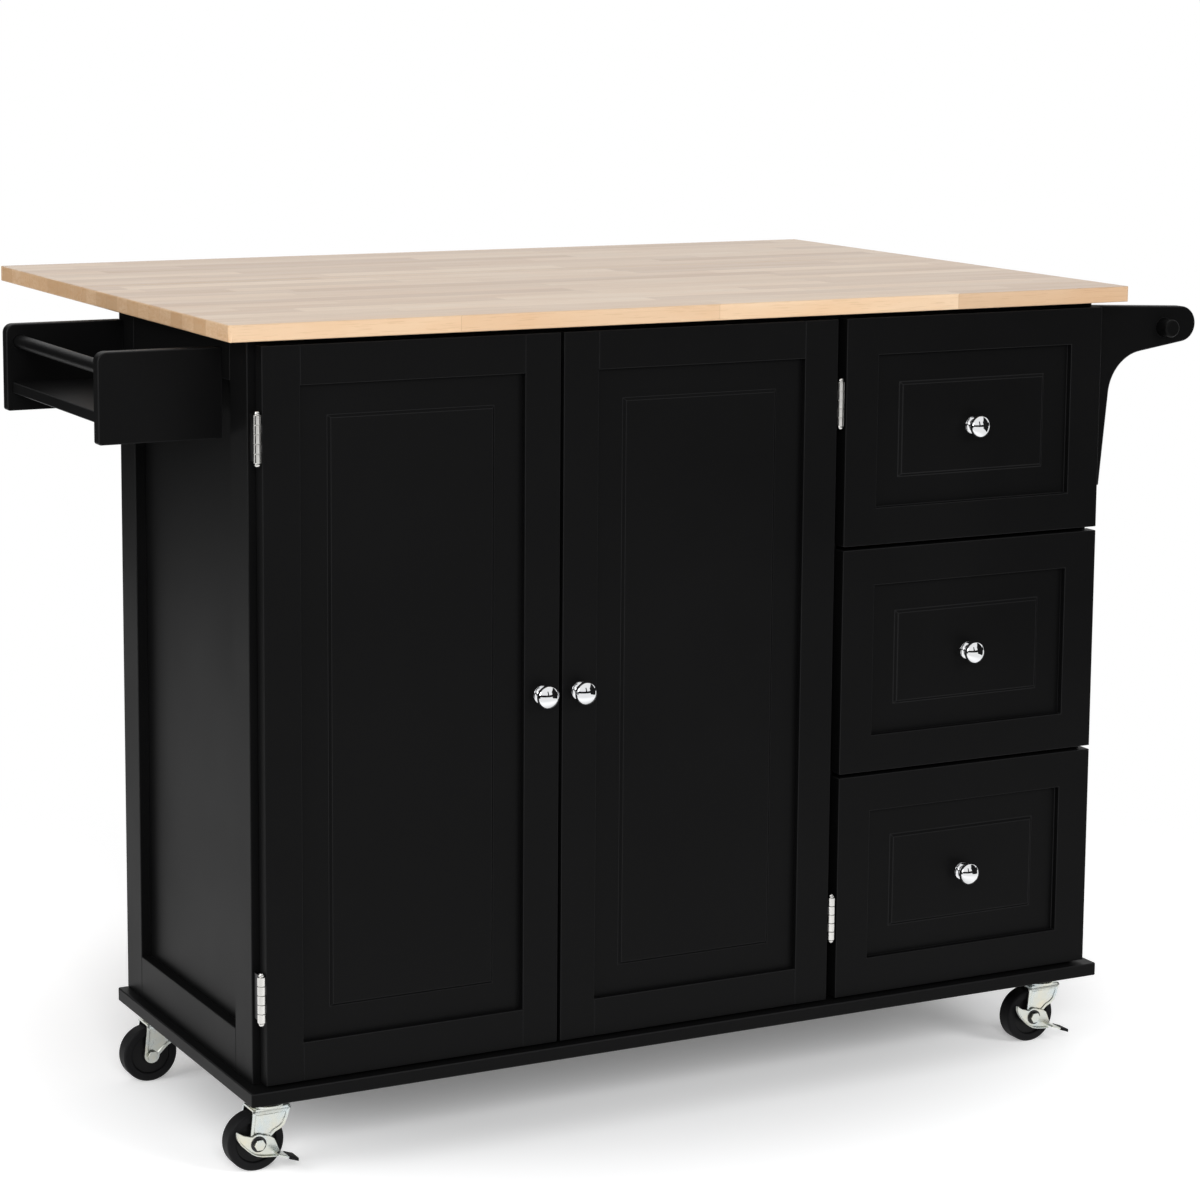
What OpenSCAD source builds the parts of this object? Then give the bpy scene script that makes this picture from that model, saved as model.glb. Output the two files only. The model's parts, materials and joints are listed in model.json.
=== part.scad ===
// Rolling kitchen island with two doors, three drawers, a drop leaf, a spice rack and a towel rack.
// +X runs along the front to the right, the doors face -Y, +Z is up and the wheels stand on Z = 0.

/* [Cabinet] */
// Width of the cabinet over its two side frames
body_w = 1054; // [980:1:1200]
// Depth of the cabinet from its front edges to its back
body_d = 389; // [370:1:440]
// Height of the cabinet between the base board and the worktop
body_h = 792; // [740:1:860]
// Thickness of the side frames, the partition and the rails
board_t = 18; // [17:0.5:20]
// Width of the stiles and rails of the side frames
side_member_w = 48; // [42:1:60]
// How far the side panels lie back from the outer faces of their frames
side_recess = 12; // [8:0.5:12]
// Thickness of the side panels and of the back panel
thin_panel_t = 4; // [3:0.5:4.5]
// Distance from the left side to the middle of the partition
partition_x = 701.5; // [660:0.5:720]
// Height of the rails behind the worktop brackets
back_rail_h = 120; // [110:1:140]
// Depth of the flat stretchers under the worktop
stretcher_d = 60; // [45:1:80]

/* [Base board] */
// Thickness of the base board
base_t = 15; // [12:0.5:22]
// How far the base board stands out past each side
base_side_reach = 12.5; // [6:0.5:25]
// How far the base board stands out in front of the cabinet
base_front_reach = 31; // [24:1:40]

/* [Worktop] */
// Thickness of the worktop and of its leaf
top_t = 18; // [15:0.5:30]
// How far the worktop stands out past each side
top_side_reach = 31; // [20:1:60]
// How far the worktop stands out in front of the cabinet
top_front_reach = 31; // [24:1:45]
// How far the fixed worktop stands out behind the cabinet
top_back_reach = 37; // [33:1:80]
// Depth of the drop leaf
leaf_d = 300; // [295:1:320]
// Gap between the fixed worktop and the leaf
leaf_gap = 1; // [0.5:0.1:2]
// Radius of the worktop's corners
top_corner_r = 5; // [2:0.5:12]
// Radius of the worktop's eased edges
top_edge_r = 2; // [1:0.5:5]

/* [Fronts] */
// Thickness of the doors and drawer fronts
front_t = 18; // [16:0.5:22]
// Gap between the fronts and the cabinet
front_gap = 3; // [2:0.5:5]
// Distance from the left side to the left door
left_reveal = 8; // [7:0.5:12]
// Width of the gap between the right door and the drawers
middle_reveal = 12; // [11.5:0.5:16]
// Gap between the two doors
door_gap = 4; // [2:0.5:6]
// Gap between one drawer front and the next
drawer_gap = 4.5; // [2:0.5:8]
// Gap between the fronts and the base board
bottom_reveal = 3; // [2:0.5:8]
// Gap between the fronts and the worktop
top_reveal = 6; // [3:0.5:10]
// Width of the stiles and rails of the fronts
front_member_w = 42; // [36:1:60]
// How far the panels lie back inside the frames of the fronts
panel_recess = 8; // [5:0.5:9]
// Height of the raised field on each panel
field_rise = 3; // [1:0.5:4]
// Distance from the frame to the raised field
field_inset = 33; // [15:1:45]
// Thickness of a front's panel beside its raised field
panel_t = 6; // [4:0.5:6.5]
// Depth of the groove that holds a panel in its frame
groove_d = 6; // [4:0.5:10]
// Width of the joint line between a stile and a rail
joint_gap = 0.1; // [0.05:0.05:0.3]

/* [Knobs] */
// Diameter of a knob's head
knob_d = 26; // [18:0.5:32]
// Radius of the crown on a knob's face
knob_crown_r = 17; // [16.5:0.5:30]
// Radius of the rounding at a knob's rim
knob_rim_r = 5; // [3:0.5:6]
// How far a knob stands out from its front
knob_reach = 24; // [18:0.5:34]
// Diameter of a knob's foot
knob_foot_d = 17; // [12:0.5:17.5]

/* [Door hinges] */
// Diameter of the hinge knuckles
knuckle_d = 8.6; // [7:0.2:9]
// Diameter of the hinge pins
hinge_pin_d = 4; // [3:0.2:5]
// Length of a hinge
hinge_len = 50; // [40:1:70]
// Distance from a door's end to the middle of its hinge
hinge_inset = 95; // [80:1:160]
// Gap between the hinge knuckles and the doors' edges
hinge_play = 0.7; // [0.5:0.1:1]
// Depth of the hinge axis behind the fronts' faces
hinge_setback = 1; // [0.5:0.1:3]
// Thickness of the hinge plates
hinge_plate_t = 1.2; // [1:0.1:1.5]
// Width of the plates on the cabinet's front edges
hinge_plate_w = 12; // [10:0.5:13]

/* [Drawers] */
// Height of a drawer box
box_h = 170; // [120:1:200]
// Room between a drawer box and the back panel
box_back_gap = 35; // [5:1:80]
// Thickness of a drawer box's sides
box_t = 12; // [10:0.5:15]
// Thickness of a drawer's bottom
box_floor_t = 4; // [3:0.5:6]
// Distance from the lower edge of a front to its drawer box
box_lift = 20; // [12:1:40]
// Room for a runner on each side of a drawer box
runner_t = 12.5; // [10:0.5:14]
// Height of a runner
runner_h = 35; // [28:1:45]
// How far a runner lies behind the cabinet's front edges, and ends before its box does
runner_margin = 3; // [2:0.5:10]
// Thickness of the runners' sheet
runner_sheet = 1.2; // [1:0.1:1.6]

/* [Shelf] */
// Height of the shelf above the base board
shelf_z = 372; // [150:1:600]
// Thickness of the shelf
shelf_t = 15; // [12:0.5:20]
// Clearance of the shelf at each end
shelf_play = 1; // [0.5:0.1:2]
// Diameter of the shelf pins
shelf_pin_d = 5; // [4:0.5:6]

/* [Spice rack] */
// How far the rack stands out from the side
rack_reach = 135.5; // [100:0.5:180]
// Height of the rack's end boards
rack_h = 96; // [80:1:140]
// Thickness of the rack's end boards
rack_end_t = 15; // [12:0.5:18]
// Distance from the cabinet's front edge to the rack
rack_setback = 69.5; // [50:0.5:120]
// Gap between the rack and the worktop
rack_drop = 15.5; // [8:0.5:40]
// Height of the rack's shelf above the lower edge of its ends
rack_shelf_lift = 20; // [8:1:30]
// Thickness of the rack's shelf
rack_shelf_t = 12; // [9:0.5:18]
// Diameter of the rack's rail
rack_rail_d = 15; // [10:0.5:20]
// Radius of the outer upper corners of the rack's ends
rack_corner_r = 10; // [4:0.5:14]
// Radius of the outer lower corners of the rack's ends
rack_toe_r = 3; // [1:0.5:8]

/* [Towel rack] */
// How far the brackets stand out from the side
towel_reach = 158; // [140:1:190]
// Height of a bracket from its foot to the middle of its nose
towel_drop = 187; // [175:1:230]
// Gap between the worktop and the top of a bracket
towel_gap = 7; // [3:1:20]
// Thickness of a bracket
towel_bracket_t = 15; // [12:0.5:20]
// Distance from the cabinet's front edge to a bracket
towel_setback = 9; // [4:0.5:20]
// Width of a bracket's foot
towel_foot_w = 24; // [18:1:30]
// Radius of a bracket's nose
towel_nose_r = 21; // [18:0.5:26]
// Radius of the hollow below a bracket's arm
towel_hollow_r = 52; // [35:1:56]
// Diameter of the towel bar
towel_bar_d = 21; // [16:0.5:26]
// Distance from the side to the middle of the towel bar
towel_bar_x = 112; // [95:1:114]
// How far the bar's ends stand out of the brackets
towel_bar_end = 18; // [3:0.5:24]
// Radius of the rounding at the bar's ends
towel_bar_edge_r = 3; // [1:0.5:6]

/* [Leaf hinges and brackets] */
// Distance of the leaf's hinge axis below the worktop
leaf_axis_drop = 6.5; // [6.5:0.1:8]
// Diameter of the leaf hinges' knuckles
leaf_knuckle_d = 11; // [10:0.5:12]
// Diameter of the pins in the leaf hinges and brackets
leaf_pin_d = 5; // [4:0.5:5]
// Length of a leaf hinge
leaf_hinge_len = 50; // [40:1:80]
// Distance from the cabinet's sides to the middle of the outer leaf hinges
leaf_hinge_inset = 105; // [60:1:180]
// Distance from the cabinet's side to the middle of a bracket
bracket_inset = 250; // [150:1:300]
// Height of the brace's lower pivot below the hinge axis
brace_drop = 90; // [80:1:95]
// Distance of the brace's lower pivot in front of the hinge axis
brace_setback = 16; // [15:0.5:18]
// Distance from the end of a bracket's arm to the brace's pin when the leaf hangs
slot_end = 13; // [8:0.5:30]
// Distance from the leaf's back edge to the end of a bracket's arm
arm_end_gap = 10.5; // [6:0.5:30]
// Height of a bracket's arm
arm_h = 16; // [14:0.5:16]
// Outer width of a bracket's arm
arm_w = 20; // [18:0.5:22]
// Thickness of the brackets' sheet
bracket_sheet = 2; // [1.5:0.1:2.5]

/* [Casters] */
// Diameter of a wheel
wheel_d = 64; // [50:1:66]
// Width of a wheel's tread
wheel_w = 21; // [16:0.5:22]
// Height from the floor to the base board
caster_h = 89; // [88:1:100]
// Horizontal distance from the swivel to the axle
caster_trail = 16; // [12:0.5:24]
// Distance from the cabinet's side to a caster's swivel
caster_inset_x = 28; // [26:0.5:60]
// Distance from the cabinet's front or back to a caster's swivel
caster_inset_y = 31; // [30:0.5:60]
// Width of a caster's square plate
caster_plate_w = 56; // [50:1:58]
// Diameter of the axle bolts
axle_d = 8; // [6:0.5:9]
// Thickness of the fork's sheet
fork_sheet = 2.5; // [2:0.1:3]
// How far the brake pedals reach in front of the axle
pedal_reach = 44; // [40:1:50]

/* [Fastenings] */
// Diameter of the screw shanks
screw_d = 4; // [3:0.5:4]
// Running clearance of pins in their holes, on the radius
pin_play = 0.05; // [0.02:0.01:0.08]

/* [Hidden] */
$fn = 48;

// Colours
black_paint = [0.10, 0.10, 0.11];
lacquered_wood = [0.87, 0.72, 0.53];
plain_board = [0.62, 0.55, 0.45];
zinc = [0.72, 0.76, 0.76];
nickel = [0.80, 0.80, 0.80];
chrome = [0.88, 0.89, 0.90];
rubber = [0.08, 0.08, 0.08];

// Clearances of parts that move or are drilled for each other
running_gap = 0.5;
panel_play = 0.5;
screw_play = 0.05;
screw_head_d = 8;
screw_head_t = 2;
screw_len = 14;
worktop_screw_len = board_t + 10;
worktop_screw_inset = 60;
bracket_screw_drops = [15, 35, back_rail_h - 20];
knob_screw_in = 8;

// Heights
base_z = caster_h;
floor_z = base_z + base_t;
top_z = floor_z + body_h;
front_z0 = floor_z + bottom_reveal;
front_z1 = top_z - top_reveal;

// Faces along Y, counted from the cabinet's front edges
front_back_y = -front_gap;
front_face_y = -front_gap - front_t;

// Doors and drawer fronts along X
right_door_x1 = partition_x - middle_reveal / 2;
door_w = (right_door_x1 - left_reveal - door_gap) / 2;
right_door_x0 = right_door_x1 - door_w;
door_h = front_z1 - front_z0;
drawer_x0 = partition_x + middle_reveal / 2;
drawer_w = body_w - drawer_x0;
drawer_h = (door_h - 2 * drawer_gap) / 3;

// The two bays of the cabinet between side frames and partition
bays = [[board_t, partition_x - board_t / 2], [partition_x + board_t / 2, body_w - board_t]];
back_y = body_d - thin_panel_t;

// Racks
rack_z1 = top_z - rack_drop;
rack_z0 = rack_z1 - rack_h;
rack_y1 = body_d;
rack_shelf_z = rack_z0 + rack_shelf_lift;
rack_shelf_inset = 6;
rack_rail_x = -rack_reach + rack_rail_d / 2 + 8;
rack_rail_z = rack_z1 - rack_rail_d / 2 - 12;
rail_socket = 6;
rack_rail_y0 = rack_setback + rack_end_t - rail_socket;
rack_rail_len = rack_y1 - rack_setback - 2 * (rack_end_t - rail_socket);
towel_brow = 6;
nose = [towel_reach - towel_nose_r, top_z - towel_gap - towel_brow - towel_nose_r];
towel_z0 = nose[1] - towel_drop;
towel_bar_z = nose[1] - 3;
bracket_ys = [towel_setback, body_d - towel_setback - towel_bracket_t];
stem_lean = 5.4;
arm_rise = 8.5;

// Drop leaf and its brackets: the hinge axis runs along X under the joint of the two boards
fixed_top_d = top_front_reach + body_d + top_back_reach;
leaf_y0 = body_d + top_back_reach + leaf_gap;
leaf_y1 = leaf_y0 + leaf_d;
axis_y = leaf_y0 - leaf_gap / 2;
axis_z = top_z - leaf_axis_drop;
leaf_hinge_xs = [leaf_hinge_inset, body_w / 2, body_w - leaf_hinge_inset];
bracket_xs = [bracket_inset, body_w - bracket_inset];
slot_drop = 3;
arm_len = leaf_d + leaf_gap / 2 - arm_end_gap;
brace_head_folded = arm_len - slot_end;
brace_len = norm([brace_head_folded - brace_drop, brace_setback - slot_drop]);
brace_reach = sqrt(pow(brace_len, 2) - pow(brace_drop - slot_drop, 2)) - brace_setback;
brace_foot = [axis_y - brace_setback, axis_z - brace_drop];
brace_head = [axis_y + brace_reach, axis_z - slot_drop];
leaf_plate_t = 2;
leaf_plate_d = 30;
leaf_knuckle_parts = 3;
cheek_gap = 2.5;
eye_r = leaf_axis_drop - 0.5;
rivet_t = 1.5;

// Door hinges
knuckle_parts = 5;
knuckle_gap = 0.2;
hinge_offset = knuckle_d / 2 + hinge_play;
hinge_zs = [front_z0 + hinge_inset - hinge_len / 2, front_z1 - hinge_inset - hinge_len / 2];
left_hinge_x = left_reveal - hinge_offset;
right_hinge_x = right_door_x1 + hinge_offset;
hinge_axis_y = front_face_y + hinge_setback;

// Shelf pins, catch and knobs
shelf_pin_inset = 30;
shelf_pin_ys = [shelf_pin_inset, back_y - shelf_pin_inset];
shelf_pin_len = 18;
shelf_pin_sunk = 8.5;
shelf_pin_z = floor_z + shelf_z - shelf_pin_d / 2;
shelf_front_gap = 12;
catch_size = [60, 17, 12];
catch_gap = 0.5;
strike_w = 20;
strike_t = 1;
door_middle_x = left_reveal + door_w + door_gap / 2;
catch_z = top_z - board_t - catch_size[2];
knob_z = door_h / 2;
knob_from_edge = front_member_w / 2;

// Drawer boxes and runners
box_x0 = bays[1][0] + runner_t;
box_x1 = bays[1][1] - runner_t;
box_y1 = back_y - box_back_gap;
box_floor_lift = 10;
box_groove_d = 5;
runner_lift = 25;

// Casters
wheel_r = wheel_d / 2;
fork_gap = 2;
fork_half = wheel_w / 2 + fork_gap + fork_sheet;
crown_z = wheel_d + 3;
race_z = crown_z + fork_sheet;
race_r = 20;
race_h = 6;
race_lip = 2;
crown_back = 5;
crown_front = caster_trail + race_r + race_lip;
fork_eye_r = 9;
plate_t = 2.5;
kingpin_r = 4;
kingpin_head_t = 3;
bolt_head_t = 3.5;
nut_t = 4;
pedal_t = 2.5;
pedal_tab_w = 16;
pedal_play = 0.3;
brake_room = running_gap + pedal_t + pedal_play;
swivel_xs = [caster_inset_x, body_w - caster_inset_x];
swivel_ys = [caster_inset_y, body_d - caster_inset_y];
caster_screw_inset = 6;

// Box around the whole part, whose middle at floor level is the origin
mid_x = (-rack_reach + body_w + towel_reach) / 2;
mid_y = (front_face_y - knob_reach + leaf_y1) / 2;

// Moves a shape from the cabinet's left front corner to the origin of the part
module cabinet() {
    translate([-mid_x, -mid_y, 0]) children();
}

// A rectangular board between two corners
module board(low, high) {
    translate(low) cube(high - low);
}

// A flat slab with round corners, its lower left corner at the origin
module slab(size, t, r) {
    linear_extrude(t) {
        translate([r, 0]) square([size[0] - 2 * r, size[1]]);
        translate([0, r]) square([size[0], size[1] - 2 * r]);
        for (x = [r, size[0] - r], y = [r, size[1] - r])
            translate([x, y]) circle(r);
    }
}

// A round bar along X, Y or Z
module bar_x(p, r, l) { translate(p) rotate([0, 90, 0]) cylinder(r = r, h = l); }
module bar_y(p, r, l) { translate(p) rotate([-90, 0, 0]) cylinder(r = r, h = l); }
module bar_z(p, r, l) { translate(p) cylinder(r = r, h = l); }

// A stile: a board as high as its frame, grooved along its right edge
module stile(h, t, member, groove_y, groove_t) {
    difference() {
        cube([member, t, h]);
        translate([member - groove_d, groove_y, -1]) cube([groove_d + 1, groove_t, h + 2]);
    }
}

// A rail between two stiles, with a tenon at each end and a groove along its upper edge
module rail(l, t, member, groove_y, groove_t) {
    difference() {
        translate([joint_gap, 0, 0]) cube([l - 2 * joint_gap, t, member]);
        translate([-1, groove_y, member - groove_d]) cube([l + 2, groove_t, groove_d + 1]);
    }
    tenon = groove_d - panel_play;
    translate([-tenon, groove_y + joint_gap, 0])
        cube([l + 2 * tenon, groove_t - 2 * joint_gap, member - groove_d]);
}

// A frame of two stiles and two rails with a groove for its panel; it faces -Y
module grooved_frame(w, h, t, member, groove_y, groove_t) {
    inner_w = w - 2 * member;
    stile(h, t, member, groove_y, groove_t);
    translate([w, 0, 0]) mirror([1, 0, 0]) stile(h, t, member, groove_y, groove_t);
    translate([member, 0, 0]) rail(inner_w, t, member, groove_y, groove_t);
    translate([member, 0, h]) mirror([0, 0, 1]) rail(inner_w, t, member, groove_y, groove_t);
}

// The flat panel that lies in a frame's groove, with play at its edges
module groove_panel(w, h, member, groove_y, groove_t) {
    edge = member - groove_d + panel_play;
    translate([edge, groove_y, edge]) cube([w - 2 * edge, groove_t, h - 2 * edge]);
}

// The raised field of a panel, bevelled on all four sides: what an upright and a level prism have in common
module raised_field(w, h) {
    intersection() {
        linear_extrude(h) field_section(w);
        translate([w, 0, 0]) rotate([0, -90, 0]) linear_extrude(w) field_section(h);
    }
}

// The field's section, whose root lies in the panel
module field_section(l) {
    edge = front_member_w + field_inset;
    face = edge + field_rise;
    polygon([
        [edge, panel_recess + 1], [edge, panel_recess], [face, panel_recess - field_rise],
        [l - face, panel_recess - field_rise], [l - edge, panel_recess], [l - edge, panel_recess + 1]
    ]);
}

// Half of a knob's section: a foot with a cove, a neck, and a crowned head whose rim is tangent to the crown
module knob_section() {
    foot = knob_foot_d / 2;
    neck = foot * 0.62;
    cove = foot - neck;
    neck_y = 1.5 + cove;
    crown = [0, knob_reach - knob_crown_r];
    rim_x = knob_d / 2 - knob_rim_r;
    rim = crown + [rim_x, sqrt(pow(knob_crown_r - knob_rim_r, 2) - pow(rim_x, 2))];
    rim_foot = rim - [0, knob_rim_r];
    difference() {
        square([foot, neck_y]);
        translate([foot, neck_y]) circle(cove);
    }
    polygon([[0, 0], [neck, 0], [neck, rim_foot[1] - 1], rim_foot, rim, [0, rim[1]]]);
    translate(rim) circle(knob_rim_r);
    intersection() {
        translate(crown) circle(knob_crown_r);
        polygon([[0, rim[1]], rim, rim + (rim - crown), [0, knob_reach + 1]]);
    }
}

// A chrome knob on a screw through boards of the given thickness: it points to -Y
module knob(grip) {
    rotate([90, 0, 0])
        difference() {
            rotate_extrude() knob_section();
            translate([0, 0, -1]) cylinder(d = screw_d + 2 * screw_play, h = knob_screw_in + 1.5);
        }
    bar_y([0, -knob_screw_in, 0], screw_d / 2, knob_screw_in + grip);
    bar_y([0, grip, 0], screw_head_d / 2, screw_head_t);
}

// The hole for a knob's screw, which starts in front of the boards
module knob_hole(x, z, grip) {
    bar_y([x, -1, z], screw_d / 2 + screw_play, grip + 2);
}

// One panel door or drawer front: its frame, and its panel with the raised field
module front_frame(w, h, knob_at) {
    difference() {
        grooved_frame(w, h, front_t, front_member_w, panel_recess, panel_t);
        knob_hole(knob_at[0], knob_at[1], front_t);
    }
}

module front_panel(w, h) {
    groove_panel(w, h, front_member_w, panel_recess, panel_t);
    raised_field(w, h);
}

// A screw whose head lies under a plate at z = 0 and whose shank points up
module screw_up() {
    translate([0, 0, -screw_head_t]) cylinder(d = screw_head_d, h = screw_head_t);
    cylinder(d = screw_d, h = screw_len);
}

module screw_hole_up() {
    translate([0, 0, -screw_head_t])
        cylinder(d = screw_d + 2 * screw_play, h = screw_len + screw_head_t + 0.5);
}

// Places of the four screws of every caster plate
module at_caster_screws() {
    reach = caster_plate_w / 2 - caster_screw_inset;
    for (x = swivel_xs, y = swivel_ys, dx = [-reach, reach], dy = [-reach, reach])
        translate([x + dx, y + dy, 0]) children();
}

// Places of the screws that hold each bracket's wall plate to the back rail
module at_bracket_screws() {
    for (x = bracket_xs, drop = bracket_screw_drops)
        translate([x, body_d + bracket_sheet, top_z - drop]) rotate([90, 0, 0]) children();
}

// Cabinet

module base_board() {
    size = [body_w + 2 * base_side_reach, body_d + base_front_reach];
    color(black_paint) cabinet() difference() {
        translate([-base_side_reach, -base_front_reach, base_z]) slab(size, base_t, 3);
        translate([0, 0, base_z - plate_t]) at_caster_screws() screw_hole_up();
    }
}

module side_frame() {
    grooved_frame(body_d, body_h, board_t, side_member_w, side_recess, thin_panel_t);
}

module on_left_side() {
    translate([0, body_d, floor_z]) rotate([0, 0, -90]) children();
}

module on_right_side() {
    translate([body_w, 0, floor_z]) rotate([0, 0, 90]) children();
}

module left_side_frame() {
    color(black_paint) cabinet() difference() {
        on_left_side() side_frame();
        shelf_pin_holes();
    }
}

module right_side_frame() {
    color(black_paint) cabinet() on_right_side() side_frame();
}

module side_panels() {
    color(black_paint) cabinet() {
        on_left_side() groove_panel(body_d, body_h, side_member_w, side_recess, thin_panel_t);
        on_right_side() groove_panel(body_d, body_h, side_member_w, side_recess, thin_panel_t);
    }
}

module partition() {
    color(black_paint) cabinet() difference() {
        board([partition_x - board_t / 2, 0, floor_z], [partition_x + board_t / 2, back_y, top_z]);
        shelf_pin_holes();
    }
}

module back_panel() {
    color(black_paint) cabinet() difference() {
        board([board_t, back_y, floor_z], [body_w - board_t, body_d, top_z]);
        at_bracket_screws() screw_hole_back();
    }
}

// Holes for the screws that come through a plate on the back
module screw_hole_back() {
    translate([0, 0, -1]) cylinder(d = screw_d + 2 * screw_play, h = screw_len + 1.5);
}

module top_stretchers() {
    color(black_paint) cabinet() difference() {
        for (bay = bays) {
            board([bay[0], 0, top_z - board_t], [bay[1], stretcher_d, top_z]);
            board([bay[0], back_y - board_t, top_z - back_rail_h], [bay[1], back_y, top_z]);
        }
        at_bracket_screws() screw_hole_back();
        translate([0, 0, top_z - board_t]) at_worktop_screws() worktop_screw_hole();
    }
}

// Places of the screws that hold the worktop to the stretchers
module at_worktop_screws() {
    for (bay = bays, x = [bay[0] + worktop_screw_inset, bay[1] - worktop_screw_inset])
        translate([x, stretcher_d / 2, 0]) children();
}

module fixed_worktop() {
    size = [body_w + 2 * top_side_reach, fixed_top_d];
    color(lacquered_wood) cabinet() difference() {
        translate([-top_side_reach, -top_front_reach, top_z]) worktop_board(size, true);
        translate([0, 0, top_z - board_t]) at_worktop_screws() worktop_screw_hole();
    }
}

module worktop_screw_hole() {
    translate([0, 0, -1]) cylinder(d = screw_d + 2 * screw_play, h = worktop_screw_len + 1.5);
}

// A worktop board whose two outer corners are round, at its front or at its back, and whose outer edges
// are eased: the board is what its outline, its long section and its cross section have in common
module worktop_board(size, round_front) {
    r = top_corner_r;
    y = round_front ? r : size[1] - r;
    intersection() {
        linear_extrude(top_t) {
            translate([0, round_front ? r : 0]) square([size[0], size[1] - r]);
            translate([r, round_front ? 0 : size[1] - r]) square([size[0] - 2 * r, r]);
            for (x = [r, size[0] - r])
                translate([x, y]) circle(r);
        }
        translate([0, size[1], 0]) rotate([90, 0, 0]) linear_extrude(size[1])
            eased_section(size[0], [top_edge_r, size[0] - top_edge_r]);
        rotate([90, 0, 90]) linear_extrude(size[0])
            eased_section(size[1], [round_front ? top_edge_r : size[1] - top_edge_r]);
    }
}

// A worktop board's section, with round corners at the given places along its width
module eased_section(w, corners) {
    r = top_edge_r;
    low = min(corners) > r ? 0 : r;
    high = max(corners) < w - r ? w : w - r;
    translate([low, 0]) square([high - low, top_t]);
    translate([0, r]) square([w, top_t - 2 * r]);
    for (x = corners, z = [r, top_t - r])
        translate([x, z]) circle(r);
}

// Shelf in the cupboard

module at_shelf_pins(r, l, depth) {
    for (y = shelf_pin_ys) {
        bar_x([bays[0][0] - depth, y, shelf_pin_z], r, l);
        bar_x([bays[0][1] + depth - l, y, shelf_pin_z], r, l);
    }
}

module shelf_pin_holes() {
    at_shelf_pins(shelf_pin_d / 2 + screw_play, shelf_pin_sunk + 0.5, shelf_pin_sunk + 0.5);
}

module shelf_pins() {
    color(zinc) cabinet() at_shelf_pins(shelf_pin_d / 2, shelf_pin_len, shelf_pin_sunk);
}

module adjustable_shelf() {
    color(black_paint) cabinet()
        board([bays[0][0] + shelf_play, shelf_front_gap, floor_z + shelf_z],
              [bays[0][1] - shelf_play, back_y - 2, floor_z + shelf_z + shelf_t]);
}

// Magnetic catch for the two doors, under the front stretcher

module door_catches() {
    color(zinc) cabinet()
        translate([door_middle_x - catch_size[0] / 2, front_back_y + strike_t + catch_gap, catch_z])
            cube(catch_size);
}

module strike_plate(x) {
    translate([x - strike_w / 2, front_back_y, catch_z]) cube([strike_w, strike_t, catch_size[2]]);
}

// Fastenings of the cabinet

module cabinet_screws() {
    color(zinc) cabinet() {
        translate([0, 0, base_z - plate_t]) at_caster_screws() screw_up();
        at_bracket_screws() screw_up();
        translate([0, 0, top_z - board_t]) at_worktop_screws() {
            cylinder(d = screw_d, h = worktop_screw_len);
            translate([0, 0, -screw_head_t]) cylinder(d = screw_head_d, h = screw_head_t);
        }
    }
}

// Spice rack

module rack_end_outline() {
    r = rack_corner_r;
    toe = rack_toe_r;
    translate([-rack_reach + r, 0]) square([rack_reach - r, rack_h]);
    translate([-rack_reach, toe]) square([r, rack_h - r - toe]);
    translate([-rack_reach + toe, 0]) square([r, toe]);
    translate([-rack_reach + toe, toe]) circle(toe);
    translate([-rack_reach + r, rack_h - r]) circle(r);
}

module spice_rack_ends() {
    color(black_paint) cabinet() difference() {
        for (y = [rack_setback, rack_y1 - rack_end_t])
            translate([0, y + rack_end_t, rack_z0]) rotate([90, 0, 0])
                linear_extrude(rack_end_t) rack_end_outline();
        bar_y([rack_rail_x, rack_rail_y0, rack_rail_z], rack_rail_d / 2 + pin_play, rack_rail_len);
    }
}

module spice_rack_rail() {
    color(black_paint) cabinet()
        bar_y([rack_rail_x, rack_rail_y0, rack_rail_z], rack_rail_d / 2, rack_rail_len);
}

module spice_rack_shelf() {
    color(black_paint) cabinet()
        board([-rack_reach + rack_shelf_inset, rack_setback + rack_end_t, rack_shelf_z],
              [0, rack_y1 - rack_end_t, rack_shelf_z + rack_shelf_t]);
}

// Towel rack: the outline of a bracket has its inner edge on the cabinet's side.
// The hollow below the arm is a circle that touches the stem's edge and the arm's lower edge.

function hollow_centre() =
    let (
        across = [cos(stem_lean), -sin(stem_lean)],
        down = [sin(arm_rise), -cos(arm_rise)],
        a = across * [towel_foot_w, towel_z0] + towel_hollow_r,
        b = down * (nose + towel_nose_r * down) + towel_hollow_r,
        det = across[0] * down[1] - across[1] * down[0]
    )
    [(a * down[1] - b * across[1]) / det, (across[0] * b - down[0] * a) / det];

module towel_bracket_outline() {
    across = [cos(stem_lean), -sin(stem_lean)];
    down = [sin(arm_rise), -cos(arm_rise)];
    centre = hollow_centre();
    stem_point = centre - towel_hollow_r * across;
    arm_point = centre - towel_hollow_r * down;
    difference() {
        polygon([
            [0, towel_z0], [towel_foot_w, towel_z0], stem_point, centre, arm_point,
            nose + towel_nose_r * down, nose, nose + [0, towel_nose_r],
            [0, nose[1] + towel_nose_r + towel_brow]
        ]);
        translate(centre) circle(towel_hollow_r);
    }
    translate(nose) circle(towel_nose_r);
}

module towel_rack_brackets() {
    color(black_paint) cabinet() difference() {
        for (y = bracket_ys)
            translate([body_w, y + towel_bracket_t, 0]) rotate([90, 0, 0])
                linear_extrude(towel_bracket_t) towel_bracket_outline();
        bar_y([body_w + towel_bar_x, 0, towel_bar_z], towel_bar_d / 2 + screw_play, body_d);
    }
}

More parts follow.
